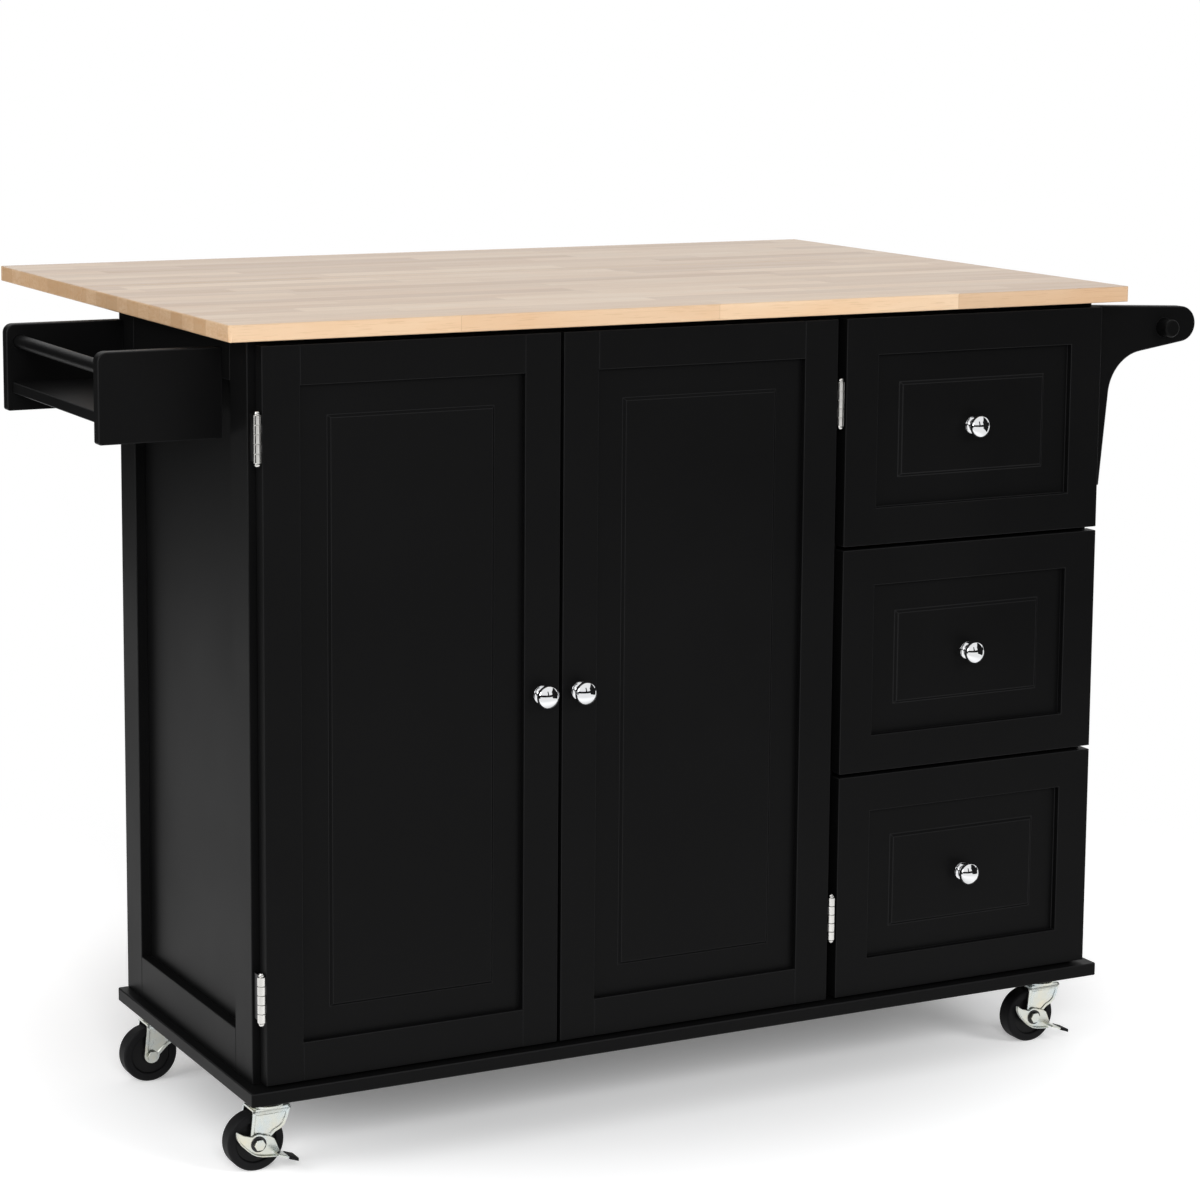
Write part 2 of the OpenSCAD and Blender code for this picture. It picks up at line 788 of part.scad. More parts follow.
module towel_bar() {
    y0 = bracket_ys[0] - towel_bar_end;
    y1 = bracket_ys[1] + towel_bracket_t + towel_bar_end;
    r = towel_bar_d / 2;
    edge = towel_bar_edge_r;
    color(black_paint) cabinet()
        translate([body_w + towel_bar_x, y0, towel_bar_z]) rotate([-90, 0, 0]) rotate_extrude() {
            translate([0, edge]) square([r, y1 - y0 - 2 * edge]);
            square([r - edge, y1 - y0]);
            for (z = [edge, y1 - y0 - edge])
                translate([r - edge, z]) circle(edge);
        }
}

// Door hinges: a knuckle tube with a plate, cut so that two halves mesh on one pin.
// The axis is Z through the origin and the door lies towards +X.

function knuckle_z(i) = i * hinge_len / knuckle_parts;

module knuckle_tubes(first, r) {
    for (i = [first : 2 : knuckle_parts - 1])
        bar_z([0, 0, knuckle_z(i) + knuckle_gap], r, hinge_len / knuckle_parts - 2 * knuckle_gap);
}

// Plate slots let the other half's tubes turn
module knuckle_slots(first) {
    length = hinge_len / knuckle_parts + 2 * knuckle_gap;
    for (i = [1 - first : 2 : knuckle_parts - 1])
        bar_z([0, 0, knuckle_z(i) - knuckle_gap], hinge_offset + 0.1, length);
}

// The half on the door lies along the door's edge
module door_hinge_leaf() {
    inner = hinge_offset - hinge_plate_t;
    difference() {
        union() {
            knuckle_tubes(1, knuckle_d / 2);
            difference() {
                board([inner, -hinge_setback, 0], [hinge_offset, front_t - hinge_setback, hinge_len]);
                knuckle_slots(1);
            }
        }
        bar_z([0, 0, -1], hinge_pin_d / 2 + pin_play, hinge_len + 2);
    }
}

// The half on the cabinet runs back beside the door and turns onto the cabinet's front edge
module cabinet_hinge_leaf() {
    back = front_t + front_gap - hinge_setback;
    side = -hinge_plate_t / 2;
    top = hinge_len - knuckle_gap;
    difference() {
        union() {
            knuckle_tubes(0, knuckle_d / 2);
            difference() {
                board([side, 0, knuckle_gap], [side + hinge_plate_t, back, top]);
                knuckle_slots(0);
            }
            board([side, back - hinge_plate_t, knuckle_gap], [side + hinge_plate_w, back, top]);
        }
        bar_z([0, 0, -1], hinge_pin_d / 2 + pin_play, hinge_len + 2);
    }
}

// The pin, with a ball tip at each end
module hinge_pin() {
    tip_r = hinge_pin_d / 2 + 1;
    bar_z([0, 0, 0], hinge_pin_d / 2, hinge_len);
    for (end = [0, hinge_len])
        translate([0, 0, end]) rotate([end > 0 ? 0 : 180, 0, 0])
            rotate_extrude() intersection() {
                translate([0, tip_r * 0.4]) circle(tip_r);
                square([tip_r, 2 * tip_r]);
            }
}

module at_left_hinges() {
    for (z = hinge_zs)
        translate([left_hinge_x, hinge_axis_y, z]) children();
}

module at_right_hinges() {
    for (z = hinge_zs)
        translate([right_hinge_x, hinge_axis_y, z]) mirror([1, 0, 0]) children();
}

module door_hinges_fixed() {
    color(nickel) cabinet() {
        at_left_hinges() {
            cabinet_hinge_leaf();
            hinge_pin();
        }
        at_right_hinges() {
            cabinet_hinge_leaf();
            hinge_pin();
        }
    }
}

// Doors

module at_left_door() { translate([left_reveal, front_face_y, front_z0]) children(); }
module at_right_door() { translate([right_door_x0, front_face_y, front_z0]) children(); }

module left_door_frame() {
    color(black_paint) cabinet() at_left_door()
        front_frame(door_w, door_h, [door_w - knob_from_edge, knob_z]);
}

module left_door_panel() {
    color(black_paint) cabinet() at_left_door() front_panel(door_w, door_h);
}

module left_door_knob() {
    color(chrome) cabinet() at_left_door() translate([door_w - knob_from_edge, 0, knob_z]) knob(front_t);
}

module left_door_fittings() {
    color(nickel) cabinet() {
        at_left_hinges() door_hinge_leaf();
        strike_plate(door_middle_x - catch_size[0] / 4);
    }
}

module right_door_frame() {
    color(black_paint) cabinet() at_right_door()
        front_frame(door_w, door_h, [knob_from_edge, knob_z]);
}

module right_door_panel() {
    color(black_paint) cabinet() at_right_door() front_panel(door_w, door_h);
}

module right_door_knob() {
    color(chrome) cabinet() at_right_door() translate([knob_from_edge, 0, knob_z]) knob(front_t);
}

module right_door_fittings() {
    color(nickel) cabinet() {
        at_right_hinges() door_hinge_leaf();
        strike_plate(door_middle_x + catch_size[0] / 4);
    }
}

// Drawers, counted from the bottom

function drawer_z(i) = front_z0 + i * (drawer_h + drawer_gap);

module at_drawer(i) { translate([drawer_x0, front_face_y, drawer_z(i)]) children(); }

module drawer_front(i) {
    color(black_paint) cabinet() at_drawer(i) {
        difference() {
            union() {
                difference() {
                    cube([drawer_w, front_t, drawer_h]);
                    translate([front_member_w, -1, front_member_w])
                        cube([drawer_w - 2 * front_member_w, panel_recess + 1,
                              drawer_h - 2 * front_member_w]);
                }
                raised_field(drawer_w, drawer_h);
            }
            knob_hole(drawer_w / 2, drawer_h / 2, front_t);
        }
    }
}

// The knob of a drawer stands on the raised field and its screw also passes the box
module drawer_knob(i) {
    field_y = panel_recess - field_rise;
    color(chrome) cabinet() at_drawer(i)
        translate([drawer_w / 2, field_y, drawer_h / 2]) knob(front_t - field_y + box_t);
}

module drawer_box(i) {
    z = drawer_z(i) + box_lift;
    groove = box_t - box_groove_d;
    groove_z = z + box_floor_lift;
    color(plain_board) cabinet() difference() {
        board([box_x0, front_back_y, z], [box_x1, box_y1, z + box_h]);
        board([box_x0 + box_t, front_back_y + box_t, z - 1], [box_x1 - box_t, box_y1 - box_t, z + box_h + 1]);
        board([box_x0 + groove, front_back_y + groove, groove_z],
              [box_x1 - groove, box_y1 - groove, groove_z + box_floor_t]);
        at_drawer(i) knob_hole(drawer_w / 2, drawer_h / 2, front_t + box_t);
    }
}

module drawer_bottom(i) {
    z = drawer_z(i) + box_lift + box_floor_lift;
    edge = box_groove_d - panel_play;
    color(plain_board) cabinet()
        board([box_x0 + box_t - edge, front_back_y + box_t - edge, z],
              [box_x1 - box_t + edge, box_y1 - box_t + edge, z + box_floor_t]);
}

// Runners: an outer channel on the cabinet and an inner one on the box, open towards each other

function runner_z(i) = drawer_z(i) + box_lift + runner_lift;

module runner_channel(h, depth, l) {
    difference() {
        cube([depth, l, h]);
        translate([runner_sheet, -1, runner_sheet])
            cube([depth, l + 2, h - 2 * runner_sheet]);
    }
}

module runner_channels() {
    depth = runner_t - 3;
    color(zinc) cabinet()
        for (i = [0 : 2]) {
            translate([bays[1][0], runner_margin, runner_z(i)])
                runner_channel(runner_h, depth, box_y1);
            translate([bays[1][1], runner_margin, runner_z(i)]) mirror([1, 0, 0])
                runner_channel(runner_h, depth, box_y1);
        }
}

module drawer_runners(i) {
    inner_h = runner_h - 2 * (runner_sheet + running_gap);
    depth = runner_t - runner_sheet - 1.3;
    z = runner_z(i) + runner_sheet + running_gap;
    length = box_y1 - 2 * runner_margin;
    color(zinc) cabinet() {
        translate([box_x0, runner_margin, z]) mirror([1, 0, 0]) runner_channel(inner_h, depth, length);
        translate([box_x1, runner_margin, z]) runner_channel(inner_h, depth, length);
    }
}

// Drop leaf and its hinges

module drop_leaf() {
    color(lacquered_wood) cabinet()
        translate([-top_side_reach, leaf_y0, top_z])
            worktop_board([body_w + 2 * top_side_reach, leaf_d], false);
}

module leaf_knuckles(first) {
    step = leaf_hinge_len / leaf_knuckle_parts;
    for (i = [first : 2 : leaf_knuckle_parts - 1])
        bar_x([i * step + knuckle_gap, 0, 0], leaf_knuckle_d / 2, step - 2 * knuckle_gap);
}

module leaf_knuckle_slots(first) {
    step = leaf_hinge_len / leaf_knuckle_parts;
    for (i = [1 - first : 2 : leaf_knuckle_parts - 1])
        bar_x([i * step - knuckle_gap, 0, 0], leaf_knuckle_d / 2 + running_gap, step + 2 * knuckle_gap);
}

// One half of a leaf hinge with its axis along X through the origin; its plate points to +Y
module leaf_hinge_half(first) {
    difference() {
        union() {
            leaf_knuckles(first);
            difference() {
                board([knuckle_gap, leaf_gap / 2, leaf_axis_drop - leaf_plate_t],
                      [leaf_hinge_len - knuckle_gap, leaf_plate_d, leaf_axis_drop]);
                leaf_knuckle_slots(first);
            }
            knuckle_web(first);
        }
        bar_x([-1, 0, 0], leaf_pin_d / 2 + pin_play, leaf_hinge_len + 2);
    }
}

// The bent sheet between a knuckle and its plate
module knuckle_web(first) {
    step = leaf_hinge_len / leaf_knuckle_parts;
    for (i = [first : 2 : leaf_knuckle_parts - 1])
        board([i * step + knuckle_gap, leaf_gap / 2, 0],
              [(i + 1) * step - knuckle_gap, leaf_knuckle_d / 2, leaf_axis_drop]);
}

module at_leaf_hinges() {
    for (x = leaf_hinge_xs)
        translate([x - leaf_hinge_len / 2, axis_y, axis_z]) children();
}

module leaf_hinges_fixed() {
    color(nickel) cabinet() at_leaf_hinges() {
        mirror([0, 1, 0]) leaf_hinge_half(0);
        bar_x([0, 0, 0], leaf_pin_d / 2, leaf_hinge_len);
    }
}

module leaf_hinges_moving() {
    color(nickel) cabinet() at_leaf_hinges() leaf_hinge_half(1);
}

// Folding brackets: a wall plate with two cheeks, an arm under the leaf and a brace between them

cheek_half = arm_w / 2 + cheek_gap + bracket_sheet;

module in_side_view(x0, t) {
    translate([x0, 0, 0]) rotate([90, 0, 90]) linear_extrude(t) children();
}

module cheek_outline() {
    foot_r = 7;
    difference() {
        union() {
            translate([axis_y, axis_z]) circle(eye_r);
            translate(brace_foot) circle(foot_r);
            polygon([
                [body_d, axis_z + eye_r], [axis_y, axis_z + eye_r], [axis_y + eye_r, axis_z],
                [brace_foot[0] + foot_r, brace_foot[1]], [brace_foot[0], brace_foot[1] - foot_r],
                [body_d, brace_foot[1] - foot_r - 10]
            ]);
        }
        translate([axis_y, axis_z]) circle(leaf_pin_d / 2 + pin_play);
        translate(brace_foot) circle(leaf_pin_d / 2 + pin_play);
    }
}

module bracket_wall_plates() {
    color(zinc) cabinet() difference() {
        for (x = bracket_xs) {
            board([x - cheek_half, body_d, top_z - back_rail_h],
                  [x + cheek_half, body_d + bracket_sheet, axis_z + eye_r]);
            for (side = [-cheek_half, cheek_half - bracket_sheet])
                in_side_view(x + side, bracket_sheet) cheek_outline();
        }
        at_bracket_screws() screw_hole_back();
    }
    color(zinc) cabinet()
        for (x = bracket_xs, at = [[axis_y, axis_z], brace_foot])
            bracket_pin(x, at);
}

// A riveted pin through both cheeks
module bracket_pin(x, at) {
    half = cheek_half + pin_play;
    bar_x([x - half, at[0], at[1]], leaf_pin_d / 2, 2 * half);
    bar_x([x - half - rivet_t, at[0], at[1]], leaf_pin_d / 2 + 1.5, rivet_t);
    bar_x([x + half, at[0], at[1]], leaf_pin_d / 2 + 1.5, rivet_t);
}

module arm_outline() {
    slot_r = leaf_pin_d / 2 + 0.25;
    difference() {
        union() {
            translate([axis_y, axis_z]) circle(eye_r);
            polygon([
                [axis_y, axis_z - eye_r], [axis_y + 12, top_z - arm_h], [axis_y + arm_len, top_z - arm_h],
                [axis_y + arm_len, top_z], [axis_y + eye_r, top_z], [axis_y + eye_r, axis_z],
                [axis_y, axis_z]
            ]);
        }
        translate([axis_y, axis_z]) circle(leaf_pin_d / 2 + pin_play);
        for (s = [brace_reach, brace_head_folded])
            translate([axis_y + s, axis_z - slot_drop]) circle(slot_r);
        translate([axis_y + brace_reach, axis_z - slot_drop - slot_r])
            square([brace_head_folded - brace_reach, 2 * slot_r]);
    }
}

module bracket_arms() {
    color(zinc) cabinet()
        for (x = bracket_xs) {
            for (side = [-arm_w / 2, arm_w / 2 - bracket_sheet])
                in_side_view(x + side, bracket_sheet) arm_outline();
            board([x - arm_w / 2, axis_y + eye_r, top_z - bracket_sheet],
                  [x + arm_w / 2, axis_y + arm_len, top_z]);
        }
}

// A flat brace with a long bush at its foot and a short stud at its head
module brace(x) {
    bar_t = 2 * bracket_sheet;
    bush_r = leaf_pin_d / 2 + 3.5;
    head_r = leaf_pin_d / 2 + 3;
    lean = atan2(brace_head[0] - brace_foot[0], brace_head[1] - brace_foot[1]);
    bush_half = cheek_half - bracket_sheet - 0.3;
    stud_half = arm_w / 2 - bracket_sheet - 0.5;
    translate([x, brace_foot[0], brace_foot[1]]) rotate([-lean, 0, 0])
        difference() {
            union() {
                bar_x([-bush_half, 0, 0], bush_r, 2 * bush_half);
                board([-bar_t / 2, -head_r, 0], [bar_t / 2, head_r, brace_len]);
                bar_x([-bar_t / 2, 0, brace_len], head_r, bar_t);
                bar_x([-stud_half, 0, brace_len], leaf_pin_d / 2, 2 * stud_half);
            }
            bar_x([-cheek_half, 0, 0], leaf_pin_d / 2 + pin_play, 2 * cheek_half);
        }
}

module left_brace() { color(zinc) cabinet() brace(bracket_xs[0]); }
module right_brace() { color(zinc) cabinet() brace(bracket_xs[1]); }

// Casters: each is drawn with its swivel at the origin and its axle behind it, towards -X

module at_caster(side, end) {
    translate([swivel_xs[side], swivel_ys[end], 0]) children();
}

module caster_plates() {
    half = caster_plate_w / 2;
    color(zinc) cabinet() difference() {
        for (side = [0, 1], end = [0, 1])
            at_caster(side, end) {
                translate([-half, -half, base_z - plate_t])
                    slab([caster_plate_w, caster_plate_w], plate_t, 5);
                upper_race();
                bar_z([0, 0, crown_z - 1], kingpin_r, race_z + race_h + 2 - crown_z);
                bar_z([0, 0, crown_z - kingpin_head_t - pedal_play], kingpin_r + 2, kingpin_head_t);
            }
        translate([0, 0, base_z - plate_t]) at_caster_screws() screw_hole_up();
    }
}

// The swivel's upper race: a pressed bowl with a lip, which hangs from the plate
module upper_race() {
    low = race_z + race_h + running_gap;
    high = base_z - plate_t;
    lip = race_r + race_lip;
    neck = race_r - 3;
    lip_z = low + 0.3 * (high - low);
    neck_z = low + 0.6 * (high - low);
    rotate_extrude() polygon([[0, low], [lip, low], [lip, lip_z], [neck, neck_z], [neck, high], [0, high]]);
}

// A leg of the fork seen from its side: it narrows from the crown to the eye round the axle
module fork_leg_outline() {
    eye = fork_eye_r;
    difference() {
        union() {
            translate([0, wheel_r]) circle(eye);
            polygon([
                [-eye, wheel_r], [-crown_back, race_z], [crown_front, race_z], [crown_front - 1, crown_z],
                [crown_front - 7, wheel_r + 17], [crown_front - 17, wheel_r + 11], [eye + 4, wheel_r + 3],
                [eye * cos(40), wheel_r - eye * sin(40)], [0, wheel_r]
            ]);
        }
        translate([0, wheel_r]) circle(axle_d / 2 + pin_play);
    }
}

// The fork's two legs, its crown and the lower race of its swivel
module fork_body() {
    translate([-caster_trail, 0, 0]) {
        for (y = [-fork_half + fork_sheet, fork_half])
            translate([0, y, 0]) rotate([90, 0, 0]) linear_extrude(fork_sheet) fork_leg_outline();
        board([-crown_back, -fork_half, crown_z], [crown_front, fork_half, race_z]);
    }
    bar_z([0, 0, crown_z], race_r, race_z + race_h - crown_z);
}

// Axle bolt: head at the front, nut at the back, with room for a brake pedal under the head
module axle_bolt(room) {
    y0 = -fork_half - room;
    translate([-caster_trail, 0, wheel_r]) {
        bar_y([0, y0, 0], axle_d / 2, fork_half * 2 + room + nut_t + 1);
        translate([0, y0, 0]) rotate([90, 0, 0]) cylinder(r = axle_d / 2 + 2.5, h = bolt_head_t, $fn = 6);
        difference() {
            translate([0, fork_half + nut_t + 0.2, 0]) rotate([90, 0, 0])
                cylinder(r = axle_d / 2 + 3, h = nut_t, $fn = 6);
            bar_y([0, fork_half, 0], axle_d / 2 + pin_play, nut_t + 2);
        }
    }
}

module fork(side, end, room) {
    color(zinc) cabinet() at_caster(side, end) {
        difference() {
            fork_body();
            bar_z([0, 0, crown_z - 4], kingpin_r + pin_play, 20);
        }
        axle_bolt(room);
    }
}

module wheel(side, end) {
    half = wheel_w / 2;
    round_r = 3;
    hub_r = axle_d / 2 + 6;
    hub_half = half + fork_gap - 0.4;
    rim_t = 9;
    web_sunk = 3;
    color(rubber) cabinet() at_caster(side, end)
        translate([-caster_trail, 0, wheel_r]) rotate([90, 0, 0]) rotate_extrude() {
            difference() {
                translate([axle_d / 2 + pin_play, -half]) square([wheel_r - axle_d / 2 - pin_play, wheel_w]);
                for (y = [-half, half - web_sunk])
                    translate([hub_r, y]) square([wheel_r - hub_r - rim_t, web_sunk]);
                for (y = [-half, half - round_r])
                    translate([wheel_r - round_r, y]) square([round_r, round_r]);
            }
            for (y = [-half + round_r, half - round_r])
                translate([wheel_r - round_r, y]) circle(round_r);
            translate([axle_d / 2 + pin_play, -hub_half])
                square([hub_r - axle_d / 2 - pin_play, 2 * hub_half]);
        }
}

// Brake pedal: a pressed plate that turns on the axle bolt, with a foot tab at its front
module brake_outline() {
    difference() {
        union() {
            circle(11);
            polygon([
                [-25, 17], [-24, 8], [-14, -4], [-3, -12.5], [20, -16], [24, -11],
                [18, 4], [8, 9], [-8, 9], [-17, 12]
            ]);
        }
        circle(axle_d / 2 + pin_play);
    }
}

module brake(side) {
    color(zinc) cabinet() at_caster(side, 0)
        translate([-caster_trail, -fork_half - running_gap, wheel_r]) rotate([90, 0, 0]) {
            linear_extrude(pedal_t) brake_outline();
            linear_extrude(pedal_t + pedal_tab_w) polygon([
                [16, -8], [16, -8 - pedal_t], [pedal_reach, -18 - pedal_t], [pedal_reach, -18]
            ]);
        }
}

base_board();
left_side_frame();
right_side_frame();
side_panels();
partition();
back_panel();
top_stretchers();
fixed_worktop();
adjustable_shelf();
shelf_pins();
runner_channels();
door_catches();
cabinet_screws();
door_hinges_fixed();
spice_rack_ends();
spice_rack_shelf();
spice_rack_rail();
towel_rack_brackets();
towel_bar();
leaf_hinges_fixed();
bracket_wall_plates();
caster_plates();
drop_leaf();
leaf_hinges_moving();
bracket_arms();
left_brace();
right_brace();
left_door_frame();
left_door_panel();
left_door_fittings();
left_door_knob();
right_door_frame();
right_door_panel();
right_door_fittings();
right_door_knob();
drawer_front(2);  // top_drawer_front
drawer_box(2);  // top_drawer_box
drawer_bottom(2);  // top_drawer_bottom
drawer_knob(2);  // top_drawer_knob
drawer_runners(2);  // top_drawer_runners
drawer_front(1);  // middle_drawer_front
drawer_box(1);  // middle_drawer_box
drawer_bottom(1);  // middle_drawer_bottom
drawer_knob(1);  // middle_drawer_knob
drawer_runners(1);  // middle_drawer_runners
drawer_front(0);  // bottom_drawer_front
drawer_box(0);  // bottom_drawer_box
drawer_bottom(0);  // bottom_drawer_bottom
drawer_knob(0);  // bottom_drawer_knob
drawer_runners(0);  // bottom_drawer_runners
fork(0, 0, brake_room);  // front_left_fork
wheel(0, 0);  // front_left_wheel
brake(0);  // front_left_brake
fork(1, 0, brake_room);  // front_right_fork
wheel(1, 0);  // front_right_wheel
brake(1);  // front_right_brake
fork(0, 1, pedal_play);  // back_left_fork
wheel(0, 1);  // back_left_wheel
fork(1, 1, pedal_play);  // back_right_fork
wheel(1, 1);  // back_right_wheel
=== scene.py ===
# %% [markdown]
# A rolling kitchen island: a black painted cabinet with two panelled doors and three drawers under a
# lacquered rubberwood worktop, a spice rack on its left side, a towel rack on its right side, and four
# swivel casters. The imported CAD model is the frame. It fixes where every piece is and how it moves, and
# the cells below dress it: each makes one piece or one finish and sets it where the frame says.

# %% Load the frame
import json
import math

import bmesh
import bpy
from mathutils import Matrix, Vector


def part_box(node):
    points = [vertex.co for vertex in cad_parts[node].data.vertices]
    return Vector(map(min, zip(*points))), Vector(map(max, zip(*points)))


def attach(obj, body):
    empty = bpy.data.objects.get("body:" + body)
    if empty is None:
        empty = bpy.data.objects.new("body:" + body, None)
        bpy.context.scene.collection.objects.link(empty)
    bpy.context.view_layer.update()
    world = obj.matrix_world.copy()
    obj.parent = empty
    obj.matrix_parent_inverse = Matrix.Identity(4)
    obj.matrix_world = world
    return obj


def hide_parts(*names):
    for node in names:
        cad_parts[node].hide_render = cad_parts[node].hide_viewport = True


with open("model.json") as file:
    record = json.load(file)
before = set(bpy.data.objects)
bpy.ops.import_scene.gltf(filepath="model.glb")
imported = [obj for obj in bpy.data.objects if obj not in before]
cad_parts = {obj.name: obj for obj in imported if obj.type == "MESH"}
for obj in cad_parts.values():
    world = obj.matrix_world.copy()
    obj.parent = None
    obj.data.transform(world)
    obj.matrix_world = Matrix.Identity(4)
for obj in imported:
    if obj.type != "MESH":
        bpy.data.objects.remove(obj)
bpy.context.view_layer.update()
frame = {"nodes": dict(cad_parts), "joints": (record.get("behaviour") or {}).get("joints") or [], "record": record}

NODES = frame["nodes"]
SIDES = ("left", "right")
DRAWERS = ("top", "middle", "bottom")
MM = 0.001


def linked(name, data):
    """A new object in the scene."""
    thing = bpy.data.objects.new(name, data)
    bpy.context.scene.collection.objects.link(thing)
    return thing


# %% [markdown]
# A cabinet maker measures from the cabinet's left front corner, so the cells below do the same: X runs to
# the right from the left side, Y runs back from the cabinet's front edges and Z goes up from the floor,
# all in millimetres. The corner is read from the left side frame, so nothing here repeats its place.

# %% The maker's corner
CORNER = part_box("left_side_frame")[0].copy()
CORNER.z = 0
TO_ROOM = Matrix.Translation(CORNER) @ Matrix.Scale(MM, 4)


def box_mm(node):
    """The lowest and highest corners of a CAD node in millimetres from the cabinet's corner."""
    low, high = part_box(node)
    return (low - CORNER) / MM, (high - CORNER) / MM


print("cabinet corner at", [round(v, 4) for v in CORNER])

# %% [markdown]
# The photograph was taken from the left, a little above the worktop, with a long lens. The camera's place,
# its turn and its lens come from fitting a pinhole camera to the edges of worktop, doors and base board.
# The small shift frames the object as the photograph does.

# %% Camera
CAMERA_PLACE = (-1.78476, -3.50725, 1.26312)
CAMERA_TURN = (27.598, -8.572, 0.452)
CAMERA_LENS, CAMERA_SENSOR = 99.9, 36
CAMERA_SHIFT = (0.0, -0.1)
CAMERA_REACH = 60


def aim(camera, yaw, pitch, roll):
    """Turns the camera: yaw counts from +Y to +X, pitch is up, roll is clockwise in the picture."""
    yaw, pitch, roll = (math.radians(v) for v in (yaw, pitch, roll))
    forward = Vector((math.sin(yaw) * math.cos(pitch), math.cos(yaw) * math.cos(pitch), math.sin(pitch)))
    level = forward.cross(Vector((0, 0, 1))).normalized()
    above = level.cross(forward)
    right = math.cos(roll) * level + math.sin(roll) * above
    up = -math.sin(roll) * level + math.cos(roll) * above
    camera.rotation_euler = Matrix((right, up, -forward)).transposed().to_euler()


lens = bpy.data.cameras.new("photo_camera")
lens.lens, lens.sensor_width, lens.clip_end = CAMERA_LENS, CAMERA_SENSOR, CAMERA_REACH
lens.shift_x, lens.shift_y = CAMERA_SHIFT
camera = linked("photo_camera", lens)
camera.location = CAMERA_PLACE
aim(camera, *CAMERA_TURN)
bpy.context.scene.camera = camera
print("camera", [round(v, 3) for v in camera.location], "lens", lens.lens)

# %% [markdown]
# Every finish below is a small graph of shader nodes. One helper adds a node and fills its inputs, either
# with a value or with what another node gives, so that a graph reads from top to bottom like a recipe.

# %% Helpers for shader graphs


def node_tree(owner):
    """An empty node tree on a material or a world."""
    owner.use_nodes = True
    owner.node_tree.nodes.clear()
    return owner.node_tree


def add(tree, kind, feeds=(), **settings):
    """Adds one node. Each feed is an input's name or number with a value, a node or a socket."""
    own_name = kind.startswith(("Geometry", "Function", "NodeGroup"))
    node = tree.nodes.new(kind if own_name else "ShaderNode" + kind)
    for name, value in settings.items():
        setattr(node, name, value)
    for name, value in dict(feeds).items():
        if isinstance(value, bpy.types.Node):
            value = value.outputs[0]
        if isinstance(value, bpy.types.NodeSocket):
            tree.links.new(value, node.inputs[name])
        else:
            node.inputs[name].default_value = value
    return node


def calc(tree, operation, *values):
    """A Math node on up to three values."""
    return add(tree, "Math", enumerate(values), operation=operation).outputs[0]


def between(tree, value, low, high):
    """Maps a value from 0..1 to low..high."""
    return add(tree, "MapRange", {"Value": value, "To Min": low, "To Max": high}).outputs[0]


def rise(tree, value, start, end, low=0.0, high=1.0):
    """Goes softly from low to high while a value goes from start to end."""
    feeds = {"Value": value, "From Min": start, "From Max": end, "To Min": low, "To Max": high}
    return add(tree, "MapRange", feeds, interpolation_type="SMOOTHSTEP").outputs[0]


def blend(tree, share, first, second, mode="MIX"):
    """Mixes two colours; a share of 1 gives the second one."""
    node = add(tree, "Mix", data_type="RGBA", blend_type=mode)
    for socket, value in ((node.inputs[0], share), (node.inputs[6], first), (node.inputs[7], second)):
        if isinstance(value, bpy.types.NodeSocket):
            tree.links.new(value, socket)
        else:
            socket.default_value = value
    return node.outputs[2]


def rgb(red, green, blue):
    return (red, green, blue, 1)


WHITE = rgb(1, 1, 1)
print("helpers for shader graphs ready")

# %% [markdown]
# A catalogue picture stands its object on white paper that curves up behind it. Here the floor is a plain
# white sheet that keeps the object's shadow near it. A faint glow lifts the paper as it runs outwards; kept
# low close to the object, it paints a deeper shade under it. Farther out the paper turns into an even white
# for camera, mirror and glass rays, as the world does, so no horizon shows.

# %% Floor and world
FLOOR_SIZE = 60.0
PAPER_WHITE = rgb(0.93, 0.93, 0.935)
# The glow is lowest near the object, a painted shade on the floor under it, and rises outwards.
PAINTED_SHADE_GLOW_NEAR, GLOW_FAR = 0.16, 0.46
PAINTED_SHADE_FROM, PAINTED_SHADE_TO = 0.35, 0.80
FADE_FROM, FADE_TO = 0.75, 1.35
WORLD_LEVEL = 0.34


def flat_sheet(name, wide, high, finish):
    """A rectangle round its own origin, in metres."""
    x, y = wide / 2, high / 2
    sheet = linked(name, bpy.data.meshes.new(name))
    sheet.data.from_pydata([(-x, -y, 0), (x, -y, 0), (x, y, 0), (-x, y, 0)], [], [(0, 1, 2, 3)])
    sheet.data.materials.append(finish)
    return sheet


def seen_directly(tree):
    """1 for rays from the camera, off a mirror or through glass, and 0 for the rays that light things."""
    path = add(tree, "LightPath")
    share = calc(tree, "MAXIMUM", path.outputs["Is Camera Ray"], path.outputs["Is Glossy Ray"])
    return calc(tree, "MAXIMUM", share, path.outputs["Is Transmission Ray"])


def make_paper():
    paper = bpy.data.materials.new("white_paper")
    tree = node_tree(paper)
    place = add(tree, "TexCoord").outputs["Object"]
    away = add(tree, "VectorMath", {0: place}, operation="LENGTH").outputs["Value"]
    seen = seen_directly(tree)
    # Painted shade: the glow stays low close to the object and rises outwards.
    glow_with_painted_shade = calc(tree, "MULTIPLY", seen, rise(tree, away, PAINTED_SHADE_FROM, PAINTED_SHADE_TO, PAINTED_SHADE_GLOW_NEAR, GLOW_FAR))
    sheet = add(tree, "BsdfDiffuse", {"Color": PAPER_WHITE})
    glow = add(tree, "Emission", {"Color": WHITE, "Strength": glow_with_painted_shade})
    near = add(tree, "AddShader", {0: sheet, 1: glow})
    far = add(tree, "Emission", {"Color": WHITE, "Strength": 1.0})
    share = calc(tree, "MULTIPLY", rise(tree, away, FADE_FROM, FADE_TO), seen)
    add(tree, "OutputMaterial", {"Surface": add(tree, "MixShader", {0: share, 1: near, 2: far})})
    return paper


def make_world():
    world = bpy.data.worlds.new("studio")
    bpy.context.scene.world = world
    tree = node_tree(world)
    seen = add(tree, "Background", {"Color": WHITE, "Strength": 1.0})
    fill = add(tree, "Background", {"Color": WHITE, "Strength": WORLD_LEVEL})
    shade = add(tree, "MixShader", {0: seen_directly(tree), 1: fill, 2: seen})
    add(tree, "OutputWorld", {"Surface": shade})


